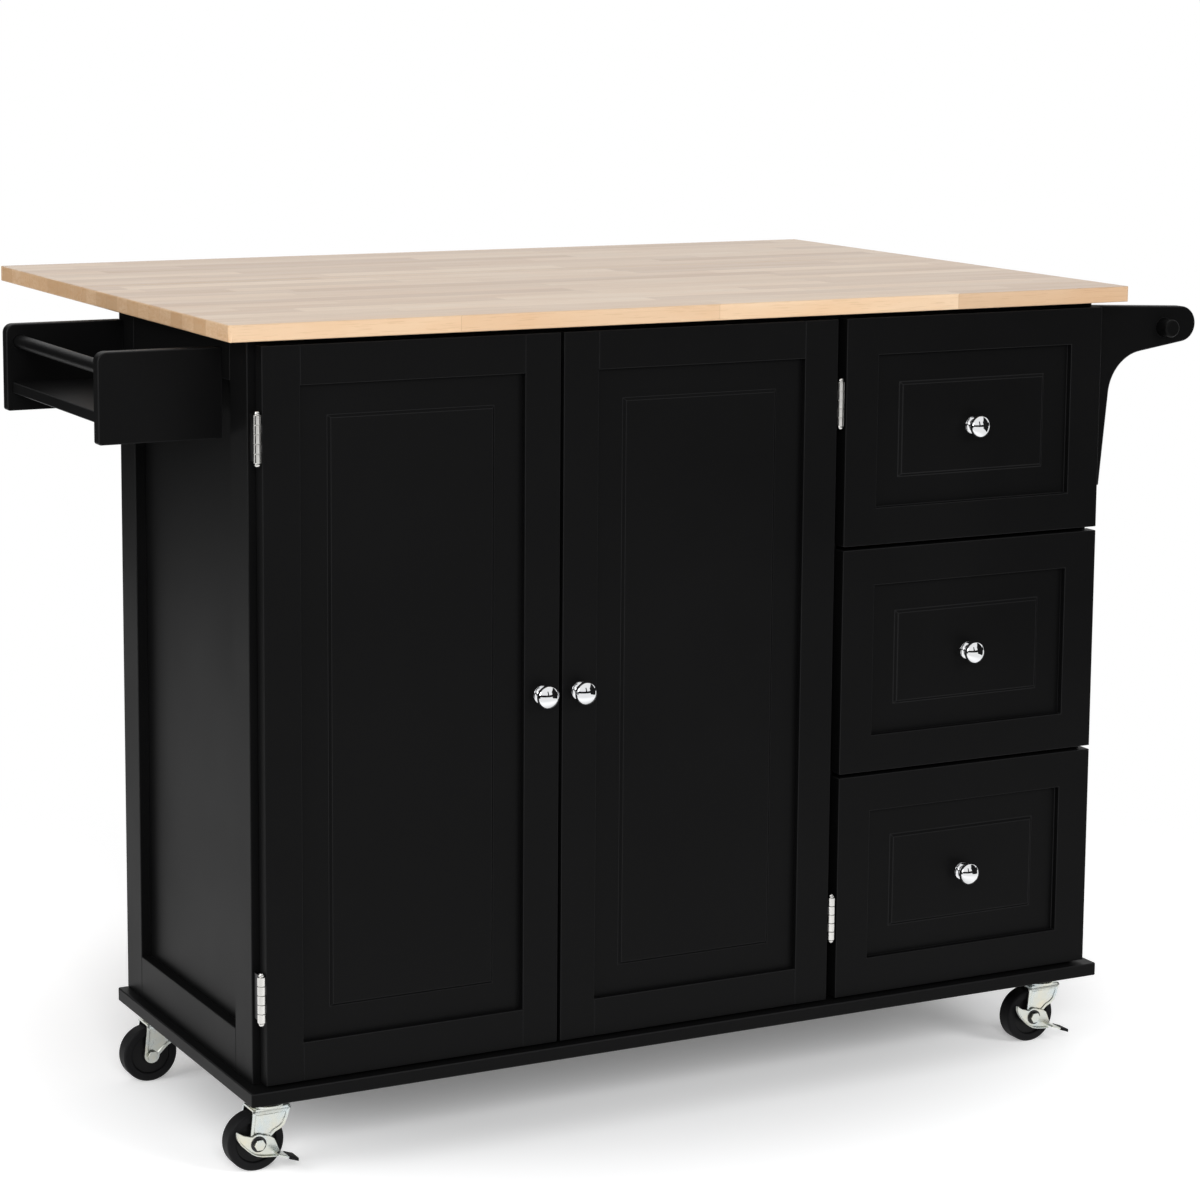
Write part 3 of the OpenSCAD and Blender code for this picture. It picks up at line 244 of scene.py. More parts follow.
floor = flat_sheet("floor", FLOOR_SIZE, FLOOR_SIZE, make_paper())
make_world()
bpy.context.scene.view_settings.view_transform = "Standard"
print("floor and world are white to the camera")

# %% [markdown]
# Big soft lamps light the object from the left, from both front corners and faintly from above, so that
# every side gets its own grey. The lacquer would mirror the two front lamps as white patches to anyone who
# stands behind the object, so reflections leave those two out.

# %% Studio lamps
LAMPS = [  # name, place, target, size, watts, shows in reflections
    ("left_softbox", (-3.4, -0.6, 1.9), (0, 0, 0.5), (2.2, 1.8), 46, True),
    ("front_left_softbox", (-1.9, -4.1, 2.2), (0, 0, 0.5), (1.8, 1.5), 102, False),
    ("front_right_softbox", (2.1, -4.0, 2.2), (0, 0, 0.5), (1.8, 1.5), 82, False),
    ("top_softbox", (0.2, 0.6, 3.4), (0, 0, 0.8), (2.4, 2.0), 12, True),
]


def stand(thing, place, target):
    """Stands a lamp or a card at a place and turns its front to a target, both in metres."""
    thing.location = place
    thing.rotation_euler = (Vector(target) - Vector(place)).to_track_quat("-Z", "Y").to_euler()


for name, place, target, size, watts, mirrored in LAMPS:
    light = bpy.data.lights.new(name, "AREA")
    light.shape = "RECTANGLE"
    light.size, light.size_y = size
    light.energy = watts
    lamp = linked(name, light)
    lamp.visible_glossy = mirrored
    stand(lamp, place, target)
print(len(LAMPS), "soft lamps light the object")

# %% [markdown]
# In an all white room polished metal would look like white plaster, so a photographer stands black cards
# round the object: a low wall of them at the horizon, and four nearer ones. Only mirror rays see the cards.
# They draw the dark bands on knobs, hinges and casters, and neither show nor take light from the object.

# %% Black cards
CARD_BLACK = rgb(0.012, 0.012, 0.012)
HORIZON_TURNS = range(-75, 76, 25)
HORIZON_AWAY, HORIZON_HEIGHT = 5.0, 1.05
CARDS = [  # name, place, target, size
    ("card_front_gap", (0.05, -4.6, 2.6), (0, 0, 2.6), (0.7, 3.0)),
    ("card_right", (1.55, -1.75, 1.1), (0, -1.75, 1.1), (2.3, 2.2)),
    ("card_left", (-2.7, -0.9, 0.55), (0, -0.4, 0.55), (1.8, 1.1)),
    ("card_back_left", (-1.85, 2.4, 1.0), (-0.5, 0, 1.0), (3.0, 1.9)),
]
for turn in HORIZON_TURNS:
    x, y = HORIZON_AWAY * math.sin(math.radians(turn)), -HORIZON_AWAY * math.cos(math.radians(turn))
    CARDS.append(("card_horizon_" + str(turn % 360), (x, y, HORIZON_HEIGHT), (0, 0, HORIZON_HEIGHT), (2.25, 1.2)))
black = bpy.data.materials.new("card_black")
tree = node_tree(black)
add(tree, "OutputMaterial", {"Surface": add(tree, "BsdfDiffuse", {"Color": CARD_BLACK})})
for name, place, target, size in CARDS:
    card = flat_sheet(name, *size, black)
    stand(card, place, target)
    card.visible_camera = card.visible_diffuse = card.visible_shadow = card.visible_transmission = False
print(len(CARDS), "black cards shape the reflections")

# %% [markdown]
# Satin black paint on wood is never one flat black. The film is a little thicker here and thinner there,
# so its gloss changes in soft patches, and a roller leaves a fine orange peel. The rounded edges get a
# lighter, glossier paint of their own: a painted highlight, standing in for the light that edges catch.

# %% Black paint


def new_finish(name, values):
    """A material, its tree, its one Principled shader with constant values, and the place on the object."""
    material = bpy.data.materials.new(name)
    tree = node_tree(material)
    shader = add(tree, "BsdfPrincipled", values)
    add(tree, "OutputMaterial", {"Surface": shader})
    return material, tree, shader, add(tree, "TexCoord").outputs["Object"]


def feed(tree, shader, colour, roughness, normal):
    """Links the three sources that every finish has."""
    for name, source in (("Base Color", colour), ("Roughness", roughness), ("Normal", normal)):
        tree.links.new(source, shader.inputs[name])


def bumps(tree, height, depth_mm):
    """A bump of the given depth in millimetres from a height of 0..1."""
    feeds = {"Height": height, "Distance": depth_mm * MM, "Strength": 1.0}
    return add(tree, "Bump", feeds).outputs[0]


def noise(tree, place, scale, detail=2.0, roughness=0.5, distortion=0.0):
    """Noise in 0..1 whose scale counts features for each metre."""
    feeds = {"Vector": place, "Scale": scale, "Detail": detail, "Roughness": roughness, "Distortion": distortion}
    return add(tree, "TexNoise", feeds).outputs[0]


def make_paint(name, dark, light, gloss):
    """Paint between two shades of black; gloss is the lowest roughness of its patches."""
    finish, tree, shader, place = new_finish(name, {"Specular IOR Level": 0.06})
    patches = noise(tree, place, 7, detail=3)
    peel = noise(tree, place, 650, detail=1)
    feed(tree, shader, blend(tree, patches, rgb(*dark), rgb(*light)), between(tree, patches, gloss, gloss + 0.12),
         bumps(tree, peel, 0.02))
    return finish


PAINT = make_paint("black_paint", (0.0030, 0.0030, 0.0031), (0.0044, 0.0044, 0.0045), 0.36)
# The edge paint is about three times lighter and a little glossier: a painted highlight on eased edges.
PAINT_EDGE_HIGHLIGHT = make_paint("black_paint_edge_highlight", (0.0085, 0.0085, 0.0088), (0.012, 0.012, 0.0123), 0.30)
print("paint:", PAINT.name, PAINT_EDGE_HIGHLIGHT.name)

# %% [markdown]
# The worktop is glued up from rubberwood strips, and each strip is finger-jointed from short staves. The
# graph follows the glue-up: the strip's number comes from Y, each strip is shifted by its own amount, and
# the stave's number comes from X with a zigzag added for the fingers. A random value for each stave gives
# its shade, and the grain is noise stretched along the strip. Square to the strips, at the worktop's ends,
# end grain shows, as blocks whose shades differ more. A clear coat on top gives the lacquer's gloss.

# %% Lacquered rubberwood
STRIP_WIDTH, STAVE_LENGTH = 0.034, 0.31
FINGER_PITCH, FINGER_DEPTH = 0.008, 0.006
GRAIN_SCALE = (2.2, 42.0, 42.0)
PORE_SCALE = (38.0, 950.0, 950.0)
MOTTLE_SCALE = (9.0, 26.0, 26.0)
RING_SCALE = (0.0, 62.0, 150.0)
STAVE_SHADES = [(0.00, (0.56, 0.390, 0.255)), (0.35, (0.65, 0.480, 0.330)), (0.7, (0.71, 0.540, 0.38)),
                (1.00, (0.77, 0.605, 0.44))]
END_SHADES = [(0.0, (0.50, 0.32, 0.180)), (0.5, (0.65, 0.45, 0.280)), (1.0, (0.75, 0.56, 0.38))]


def ramp(tree, value, stops):
    """A colour ramp through (place, colour) stops."""
    node = add(tree, "ValToRGB", {0: value})
    points = node.color_ramp.elements
    while len(points) < len(stops):
        points.new(0.5)
    for point, (place, colour) in zip(points, stops):
        point.position = place
        point.color = rgb(*colour)
    return node.outputs[0]


def random_of(tree, *numbers):
    """A random value in 0..1 for each set of whole numbers."""
    cell = add(tree, "CombineXYZ", enumerate(numbers))
    return add(tree, "TexWhiteNoise", {"Vector": cell}, noise_dimensions="3D").outputs["Value"]


def glue_line(tree, along, width):
    """1 within a thin line at each whole number of a coordinate; width is a share of the spacing."""
    return calc(tree, "LESS_THAN", calc(tree, "FRACT", along), width)


def stretched(tree, place, scale, start=(0, 0, 0)):
    """A place whose axes are scaled by their own amounts and moved on."""
    feeds = {0: place, 1: scale, 2: start}
    return add(tree, "VectorMath", feeds, operation="MULTIPLY_ADD").outputs[0]


def make_rubberwood():
    values = {"Specular IOR Level": 0.16, "Coat Weight": 0.27, "Coat Roughness": 0.08, "Coat IOR": 1.45}
    finish, tree, shader, place = new_finish("lacquered_rubberwood", values)
    x, y = add(tree, "SeparateXYZ", {0: place}).outputs[:2]
    strip_at = calc(tree, "DIVIDE", y, STRIP_WIDTH)
    strip = calc(tree, "FLOOR", strip_at)
    shift = calc(tree, "MULTIPLY", random_of(tree, strip, 3.0, 0.0), STAVE_LENGTH * 3)
    finger = calc(tree, "MULTIPLY", calc(tree, "PINGPONG", y, FINGER_PITCH / 2), 2 * FINGER_DEPTH / FINGER_PITCH)
    stave_at = calc(tree, "DIVIDE", calc(tree, "ADD", calc(tree, "ADD", x, shift), finger), STAVE_LENGTH)
    stave = calc(tree, "FLOOR", stave_at)
    shade = random_of(tree, strip, stave, 1.0)
    start = calc(tree, "MULTIPLY", random_of(tree, strip, stave, 2.0), 9.0)
    grain_place = stretched(tree, place, GRAIN_SCALE, add(tree, "CombineXYZ", {0: start, 1: start}))
    grain = noise(tree, grain_place, 1.0, detail=5, roughness=0.62, distortion=0.9)
    pores = calc(tree, "GREATER_THAN", noise(tree, stretched(tree, place, PORE_SCALE), 1.0, detail=1), 0.63)
    face = ramp(tree, shade, STAVE_SHADES)
    dark_grain = blend(tree, between(tree, grain, 0.0, 0.75), WHITE, rgb(0.70, 0.60, 0.48))
    face = blend(tree, 0.75, face, dark_grain, mode="MULTIPLY")
    face = blend(tree, calc(tree, "MULTIPLY", pores, 0.16), face, rgb(0.30, 0.18, 0.09))
    mottle = noise(tree, stretched(tree, place, MOTTLE_SCALE), 1.0, detail=3)
    face = blend(tree, between(tree, mottle, -0.5, 1.3), face, rgb(0.96, 0.87, 0.78), mode="MULTIPLY")
    end_own = random_of(tree, strip, 5.0, 1.0)
    ring_start = add(tree, "CombineXYZ", {0: calc(tree, "MULTIPLY", end_own, 9.0)})
    rings_place = stretched(tree, place, RING_SCALE, ring_start)
    rings = noise(tree, rings_place, 1.0, detail=4, roughness=0.65, distortion=1.8)
    end = ramp(tree, calc(tree, "ADD", calc(tree, "MULTIPLY", end_own, 0.55), calc(tree, "MULTIPLY", rings, 0.45)),
               END_SHADES)
    end = blend(tree, between(tree, rings, -0.6, 1.2), end, rgb(0.50, 0.27, 0.12))
    across = add(tree, "SeparateXYZ", {0: add(tree, "NewGeometry").outputs["Normal"]}).outputs[0]
    on_end = calc(tree, "GREATER_THAN", calc(tree, "ABSOLUTE", across), 0.75)
    colour = blend(tree, on_end, face, end)
    line = calc(tree, "MAXIMUM", glue_line(tree, strip_at, 0.012), glue_line(tree, stave_at, 0.0016))
    colour = blend(tree, calc(tree, "MULTIPLY", line, 0.45), colour, rgb(0.26, 0.15, 0.075))
    relief = calc(tree, "SUBTRACT", grain, calc(tree, "MULTIPLY", line, 0.6))
    feed(tree, shader, colour, between(tree, grain, 0.30, 0.46), bumps(tree, relief, 0.05))
    return finish


RUBBERWOOD = make_rubberwood()
print("worktop strips of", STRIP_WIDTH * 1000, "mm with staves of", STAVE_LENGTH * 1000, "mm")

# %% [markdown]
# The drawer boxes are plain unpainted board with a faint grain along their length.

# %% Plain board
BOARD_SCALE = (3.0, 3.0, 45.0)


def make_plain_board():
    finish, tree, shader, place = new_finish("plain_board", {"Specular IOR Level": 0.3})
    grain = noise(tree, stretched(tree, place, BOARD_SCALE), 1.0, detail=5, roughness=0.6, distortion=0.5)
    fibre = noise(tree, place, 420, detail=2)
    colour = blend(tree, grain, rgb(0.66, 0.55, 0.41), rgb(0.50, 0.38, 0.25))
    feed(tree, shader, colour, between(tree, fibre, 0.50, 0.68), bumps(tree, fibre, 0.03))
    return finish


BOARD = make_plain_board()
print("board:", BOARD.name)

# %% [markdown]
# The metals are one recipe with different numbers. Zinc plating is passivated, which tints it in soft
# patches from bluish to straw and leaves it slightly dull. Nickel on the hinge barrels is smoother and a
# touch warm, and the chrome of the knobs is nearly a mirror. A near-black steel paints shade on hinge plates,
# balls and a washer, where they sit in gaps.

# %% Metals


def make_metal(name, cool, warm, low, high, peel_mm, patch_scale=35):
    """A plated metal: its tint drifts between two colours and its roughness between low and high."""
    finish, tree, shader, place = new_finish(name, {"Metallic": 1.0})
    patches = noise(tree, place, patch_scale, detail=3, roughness=0.6)
    fine = noise(tree, place, 900, detail=2)
    feed(tree, shader, blend(tree, between(tree, patches, -0.4, 1.4), rgb(*cool), rgb(*warm)),
         between(tree, patches, low, high), bumps(tree, fine, peel_mm))
    return finish


ZINC = make_metal("zinc_plating", (0.55, 0.63, 0.67), (0.74, 0.70, 0.56), 0.20, 0.36, 0.01, patch_scale=45)
NICKEL = make_metal("nickel_plating", (0.64, 0.63, 0.61), (0.72, 0.71, 0.68), 0.16, 0.24, 0.003)
CHROME = make_metal("polished_chrome", (0.76, 0.77, 0.79), (0.80, 0.805, 0.81), 0.03, 0.07, 0.0005)
# Near-black steel that paints shade: hinge plates in the gap beside the doors, swivel balls between their races
# and the washer round a braked bolt.
PAINTED_SHADE_STEEL = make_metal("painted_shade_steel", (0.035, 0.036, 0.040), (0.060, 0.058, 0.055), 0.30, 0.45, 0.006)
print("metals:", ZINC.name, NICKEL.name, CHROME.name, PAINTED_SHADE_STEEL.name)

# %% [markdown]
# The wheels are black right through: a rubber tread, dull and faintly dusty where it rolls, on a hub of
# moulded plastic with a low sheen.

# %% Rubber and plastic


def make_black_plastic(name, dark, light, low, high, grit_mm):
    finish, tree, shader, place = new_finish(name, {"Specular IOR Level": 0.14})
    dust = noise(tree, place, 60, detail=4, roughness=0.65)
    grit = noise(tree, place, 1400, detail=1)
    feed(tree, shader, blend(tree, dust, rgb(*dark), rgb(*light)), between(tree, dust, low, high),
         bumps(tree, grit, grit_mm))
    return finish


TREAD = make_black_plastic("tread_rubber", (0.003, 0.003, 0.0034), (0.008, 0.008, 0.0086), 0.50, 0.72, 0.03)
HUB = make_black_plastic("hub_plastic", (0.003, 0.003, 0.0033), (0.006, 0.006, 0.0063), 0.30, 0.42, 0.008)
print("wheels:", TREAD.name, HUB.name)

# %% [markdown]
# A CAD mesh has perfectly sharp edges, and no real board has those: a light always catches the sanded
# edge as a thin line. So the boards here are eased copies of their CAD solids. The copy's loose triangles
# are merged and its flat faces joined, a Bevel modifier rounds every sharp edge by a millimetre or so, and
# Weighted Normal keeps the flat faces flat. Drawing the boards again would only leave room for mistakes.

# %% Eased copies of the CAD solids
EASE_STEPS = 2
FINISHES_OF = {"black_paint": [PAINT, PAINT_EDGE_HIGHLIGHT], "lacquered_wood": [RUBBERWOOD], "plain_board": [BOARD],
               "zinc": [ZINC], "nickel": [NICKEL]}
SLOT_OF = {row["node"]: row["material_slot"] for row in frame["record"]["subparts"]}
BODY_OF = {node: body for body, nodes in frame["record"]["behaviour"]["bodies"].items() for node in nodes}


def as_object(bm, name):
    """Turns a drawing, which is used up, into an object."""
    mesh = bpy.data.meshes.new(name)
    bm.to_mesh(mesh)
    bm.free()
    return linked(name, mesh)


def applied(thing):
    """A plain mesh of an object after its modifiers."""
    return bpy.data.meshes.new_from_object(thing.evaluated_get(bpy.context.evaluated_depsgraph_get()))


def merged(node):
    """A bmesh copy of a CAD node with its doubles merged and its flat faces joined."""
    bm = bmesh.new()
    bm.from_mesh(NODES[node].data)
    bmesh.ops.remove_doubles(bm, verts=bm.verts, dist=0.002 * MM)
    bmesh.ops.dissolve_limit(bm, angle_limit=math.radians(0.3), verts=bm.verts, edges=bm.edges)
    return bm


def finished(bm, name, body, finishes, replaced, ease_mm=0.0, edge_highlight_finish=-1, sharp=35):
    """Makes a piece of a bmesh in metres: eases its edges, shades it smooth and hands it to the frame."""
    piece = as_object(bm, name)
    for finish in finishes:
        piece.data.materials.append(finish)
    piece.data.shade_smooth()
    piece.data.set_sharp_from_angle(angle=math.radians(sharp))
    if ease_mm:
        ease = piece.modifiers.new("ease", "BEVEL")
        # The bevel's faces take the edge finish, which on painted pieces is a painted highlight.
        ease.width, ease.segments, ease.material = ease_mm * MM, EASE_STEPS, edge_highlight_finish
        ease.limit_method, ease.angle_limit = "ANGLE", math.radians(sharp)
        ease.use_clamp_overlap, ease.harden_normals = False, True
    piece.modifiers.new("flat", "WEIGHTED_NORMAL").keep_sharp = True
    piece.data = applied(piece)
    piece.data.name = name
    piece.modifiers.clear()
    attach(piece, body)
    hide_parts(*replaced)
    return piece


def eased(node, ease_mm):
    """An eased copy of one CAD node, in the finish of its slot; on painted pieces the edges get a lighter paint, a
    painted highlight.
    """
    slot = SLOT_OF[node]
    finishes = FINISHES_OF[slot]
    edge = 1 if len(finishes) > 1 else -1
    return finished(merged(node), node + "_eased", BODY_OF[node], finishes, (node,), ease_mm, edge)


EASED_BOARDS = {
    "fixed_worktop": 0.3, "drop_leaf": 0.3, "base_board": 1.2, "left_side_frame": 0.8, "right_side_frame": 0.8,
    "side_panels": 0.4, "partition": 0.6, "adjustable_shelf": 0.8, "spice_rack_ends": 1.2,
    "spice_rack_shelf": 1.0, "towel_rack_brackets": 1.5,
    **{side + "_door_" + kind: ease for kind, ease in (("frame", 0.7), ("panel", 0.4)) for side in SIDES},
    **{row + "_drawer_" + kind: ease for kind, ease in (("front", 0.7), ("box", 0.6)) for row in DRAWERS},
}
for node, ease_mm in EASED_BOARDS.items():
    piece = eased(node, ease_mm)
print("eased", len(EASED_BOARDS), "boards; the last has", len(piece.data.polygons), "faces")

# %% [markdown]
# Turned and pressed pieces are drawn as profiles. A lathe turns a profile of radius and height pairs about
# an axis, and a prism draws an outline out along an axis, both in millimetres from the cabinet's corner.

# %% Drawing helpers


def add_lathe(bm, profile, foot, axis, sides, finish=0):
    """Turns (radius, height) pairs about the axis that starts at foot; a radius of 0 closes the end."""
    turn = Vector(axis).to_track_quat("Z", "Y").to_matrix()
    around = [(math.cos(2 * math.pi * k / sides), math.sin(2 * math.pi * k / sides)) for k in range(sides)]
    rings = []
    for radius, height in profile:
        spots = [Vector((radius * x, radius * y, height)) for x, y in (around if radius > 0 else around[:1])]
        rings.append([bm.verts.new(Vector(foot) + turn @ spot) for spot in spots])
    for low, high in zip(rings, rings[1:]):
        for k in range(sides):
            j = (k + 1) % sides
            if len(low) == 1:
                face = (low[0], high[j], high[k])
            elif len(high) == 1:
                face = (low[k], low[j], high[0])
            else:
                face = (low[k], low[j], high[j], high[k])
            bm.faces.new(face).material_index = finish


def add_ring(bm, profile, foot, axis, sides, finish=0):
    """Turns a closed profile that stays clear of the axis, such as a tube's wall."""
    add_lathe(bm, list(profile) + [profile[0]], foot, axis, sides, finish)


def add_prism(bm, outline, low, high, axis="y", finish=0):
    """Draws an outline of (X, Z), (Y, Z) or (X, Y) points out from low to high along Y, X or Z."""
    def spot(a, b, c):
        return {"x": (c, a, b), "y": (a, c, b), "z": (a, b, c)}[axis]
    near = [bm.verts.new(spot(a, b, low)) for a, b in outline]
    far = [bm.verts.new(spot(a, b, high)) for a, b in outline]
    bm.faces.new(near).material_index = finish
    bm.faces.new(far[::-1]).material_index = finish
    for k in range(len(outline)):
        j = (k + 1) % len(outline)
        bm.faces.new((near[j], near[k], far[k], far[j])).material_index = finish


def rectangle(left, right, low, high):
    return [(left, low), (right, low), (right, high), (left, high)]


def arc(centre, radius, start, end, steps):
    """Points on an arc from start to end, in degrees."""
    turns = [math.radians(start + (end - start) * k / steps) for k in range(steps + 1)]
    return [(centre[0] + radius * math.cos(a), centre[1] + radius * math.sin(a)) for a in turns]


def shells(bm):
    """The drawing's closed shells, each as a list of joined faces."""
    found = []
    for face in bm.faces:
        face.tag = False
    for first in bm.faces:
        if first.tag:
            continue
        first.tag = True
        shell = [first]
        for face in shell:
            for near in (near for edge in face.edges for near in edge.link_faces):
                if not near.tag:
                    near.tag = True
                    shell.append(near)
        found.append(shell)
    return found


def in_room(bm):
    """Joins shared corners, turns every shell outwards and moves millimetres to the room's metres."""
    bmesh.ops.remove_doubles(bm, verts=bm.verts, dist=0.001)
    bmesh.ops.recalc_face_normals(bm, faces=bm.faces)
    for shell in shells(bm):
        start = shell[0].verts[0].co
        if sum((face.calc_center_median() - start).dot(face.normal) * face.calc_area() for face in shell) < 0:
            bmesh.ops.reverse_faces(bm, faces=shell)
    bm.transform(TO_ROOM)
    return bm


print("drawing helpers ready")

# %% [markdown]
# The knobs are turned: a flared foot with a cove, a slim neck, and a broad head with a crowned face. The
# machine screw that holds each one comes through the door from behind, and its pan head shows when the
# door stands open.

# %% Knobs
KNOB_FOOT_R, KNOB_NECK_R = 10.2, 6.6
KNOB_HEAD_R, KNOB_RIM_R, KNOB_CROWN_R = 13.0, 5.0, 17.0
KNOB_REACH = 24.0
KNOB_GRIP = {**{side + "_door_knob": 18.0 for side in SIDES}, **{row + "_drawer_knob": 25.0 for row in DRAWERS}}


def knob_profile():
    cove = KNOB_FOOT_R - KNOB_NECK_R
    rim_x = KNOB_HEAD_R - KNOB_RIM_R
    rim_y = math.sqrt((KNOB_CROWN_R - KNOB_RIM_R) ** 2 - rim_x ** 2)
    meet = math.degrees(math.atan2(rim_y, rim_x))
    crown = (0, KNOB_REACH - KNOB_CROWN_R)
    rim = (rim_x, crown[1] + rim_y)
    profile = [(0, 0), (KNOB_FOOT_R - 0.3, 0), (KNOB_FOOT_R, 0.3), (KNOB_FOOT_R, 1.2), (KNOB_FOOT_R - 0.3, 1.5)]
    profile += arc((KNOB_FOOT_R, 1.5 + cove), cove, 265, 180, 8)
    profile += [(KNOB_NECK_R, rim[1] - KNOB_RIM_R - 1.6), (KNOB_NECK_R + 0.8, rim[1] - KNOB_RIM_R - 0.6)]
    profile += arc(rim, KNOB_RIM_R, -90, meet, 16)
    profile += arc(crown, KNOB_CROWN_R, meet, 90, 10)[1:-1] + [(0, KNOB_REACH)]
    return profile


def make_knob(node):
    low, high = box_mm(node)
    x, z = (low.x + high.x) / 2, (low.z + high.z) / 2
    front, grip = low.y + KNOB_REACH, KNOB_GRIP[node]
    bm = bmesh.new()
    add_lathe(bm, knob_profile(), (x, front, z), (0, -1, 0), sides=72)
    screw = [(0, 0.01 - grip), (2, 0.01 - grip), (2, 0), (4, 0), (4, 0.8), (3.5, 1.5), (2.2, 1.95), (0.9, 2.0),
             (0.9, 1.0), (0, 1.0)]
    add_lathe(bm, screw, (x, front + grip, z), (0, 1, 0), sides=24, finish=1)
    finished(in_room(bm), node + "_turned", BODY_OF[node], [CHROME, ZINC], (node,), sharp=50)
    return x, front, z


for node in KNOB_GRIP:
    place = make_knob(node)
print("knobs turned; the last stands at", [round(v, 1) for v in place])

# %% [markdown]
# Small hardware repeats: knuckles along a hinge pin, balls round a swivel, screws in a plate. Geometry
# Nodes grow such rows from a few named sizes. Each tree below ends in Realize Instances and Set Material,
# and its result becomes a plain mesh that joins the drawing of its piece.

# %% Trees for rows, rings and screws


def grow_tree(name, inputs):
    """A Geometry Nodes tree with named inputs; returns the tree and its input sockets."""
    tree = bpy.data.node_groups.new(name, "GeometryNodeTree")
    tree.interface.new_socket("Places", in_out="INPUT", socket_type="NodeSocketGeometry")
    for label, kind, value in inputs:
        socket = tree.interface.new_socket(label, in_out="INPUT", socket_type="NodeSocket" + kind)
        if value is not None:
            socket.default_value = value
    tree.interface.new_socket("Result", in_out="OUTPUT", socket_type="NodeSocketGeometry")
    return tree, add(tree, "NodeGroupInput").outputs


def close_tree(tree, given, instances):
    """Every tree's end: instances become real faces in the given finish."""
    real = add(tree, "GeometryNodeRealizeInstances", {0: instances})
    painted = add(tree, "GeometryNodeSetMaterial", {"Geometry": real, "Material": given["Finish"]})
    add(tree, "NodeGroupOutput", {0: painted})
    return tree


def grown(tree, settings, places=()):
    """Runs a tree once on some points and returns a plain mesh. A place is a point and the way it faces."""
    seed = bpy.data.meshes.new("places")
    seed.from_pydata([point for point, facing in places], [], [])
    facings = seed.attributes.new("facing", "FLOAT_VECTOR", "POINT")
    for spot, (point, facing) in zip(facings.data, places):
        spot.vector = facing
    holder = linked("places", seed)
    run = holder.modifiers.new("grow", "NODES")
    run.node_group = tree
    for item in tree.interface.items_tree:
        if item.in_out == "INPUT" and item.name in settings:
            run[item.identifier] = settings[item.name]
    mesh = applied(holder)
    bpy.data.objects.remove(holder)
    return mesh


def add_mesh(bm, mesh, move=Matrix(), finish=0):
    """Adds a plain mesh to a drawing, moved and in one finish."""
    before = len(bm.faces)
    mesh.transform(move)
    bm.from_mesh(mesh)
    for face in list(bm.faces)[before:]:
        face.material_index = finish


def knuckle_row():
    """Tubes with a bore and rounded ends, one above the other along Z."""
    tree, given = grow_tree("knuckle_row", [
        ("Count", "Int", 3), ("Step", "Float", 20.0), ("Length", "Float", 9.6), ("Radius", "Float", 4.3),
        ("Bore", "Float", 2.05), ("Rounding", "Float", 0.4), ("Finish", "Material", None)])
    middle = calc(tree, "MULTIPLY", calc(tree, "ADD", given["Radius"], given["Bore"]), 0.5)
    wall = calc(tree, "SUBTRACT", given["Radius"], given["Bore"])
    path = add(tree, "GeometryNodeCurvePrimitiveCircle", {"Resolution": 48, "Radius": middle}, mode="RADIUS")
    section = add(tree, "GeometryNodeCurvePrimitiveQuadrilateral", {"Width": wall, "Height": given["Length"]})
    section = add(tree, "GeometryNodeFilletCurve", {"Curve": section, "Radius": given["Rounding"], "Count": 3},
                  mode="POLY")
    tube = add(tree, "GeometryNodeCurveToMesh", {"Curve": path, "Profile Curve": section})
    step = add(tree, "CombineXYZ", {2: given["Step"]})
    line = add(tree, "GeometryNodeMeshLine", {"Count": given["Count"], "Offset": step}, mode="OFFSET")
    row = add(tree, "GeometryNodeInstanceOnPoints", {"Points": line, "Instance": tube})
    return close_tree(tree, given, row)


def ball_ring():
    """Balls in a ring round Z."""
    tree, given = grow_tree("ball_ring", [
        ("Count", "Int", 24), ("Ring Radius", "Float", 18.4), ("Ball Radius", "Float", 1.6),
        ("Finish", "Material", None)])
    ring = add(tree, "GeometryNodeMeshCircle", {"Vertices": given["Count"], "Radius": given["Ring Radius"]})
    ball = add(tree, "GeometryNodeMeshUVSphere", {"Segments": 12, "Rings": 8, "Radius": given["Ball Radius"]})
    balls = add(tree, "GeometryNodeInstanceOnPoints", {"Points": ring, "Instance": ball})
    return close_tree(tree, given, balls)


def screw_set():
    """A drawn screw on every place, head outwards, each turned by its own chance."""
    tree, given = grow_tree("screw_set", [
        ("Screw", "Object", None), ("Size", "Float", 1.0), ("Seed", "Int", 7), ("Finish", "Material", None)])
    screw = add(tree, "GeometryNodeObjectInfo", {"Object": given["Screw"]}).outputs["Geometry"]
    facing = add(tree, "GeometryNodeInputNamedAttribute", {"Name": "facing"}, data_type="FLOAT_VECTOR")
    aimed = add(tree, "FunctionNodeAlignRotationToVector", {"Vector": facing}, axis="Z")
    screws = add(tree, "GeometryNodeInstanceOnPoints", {
        "Points": given["Places"], "Instance": screw, "Rotation": aimed, "Scale": given["Size"]})
    chance = add(tree, "FunctionNodeRandomValue", {3: math.tau, "Seed": given["Seed"]}, data_type="FLOAT")
    twist = add(tree, "CombineXYZ", {2: chance.outputs[1]})
    twisted = add(tree, "GeometryNodeRotateInstances", {"Instances": screws, "Rotation": twist,
                                                         "Local Space": True})
    return close_tree(tree, given, twisted)


KNUCKLES, BALLS, SCREWS = knuckle_row(), ball_ring(), screw_set()
print("trees:", KNUCKLES.name, BALLS.name, SCREWS.name)

# %% [markdown]
# The screws are pan heads with a cross recess. One screw of each length is drawn: a turned head and shank,
# from which a Boolean cuts the cross. The tree then sets a copy on every place and turns each one by its
# own amount, as no two screws end up alike.

# %% Screws
CROSS_ARM, CROSS_HALF, CROSS_FLOOR = 2.2, 0.45, 0.9


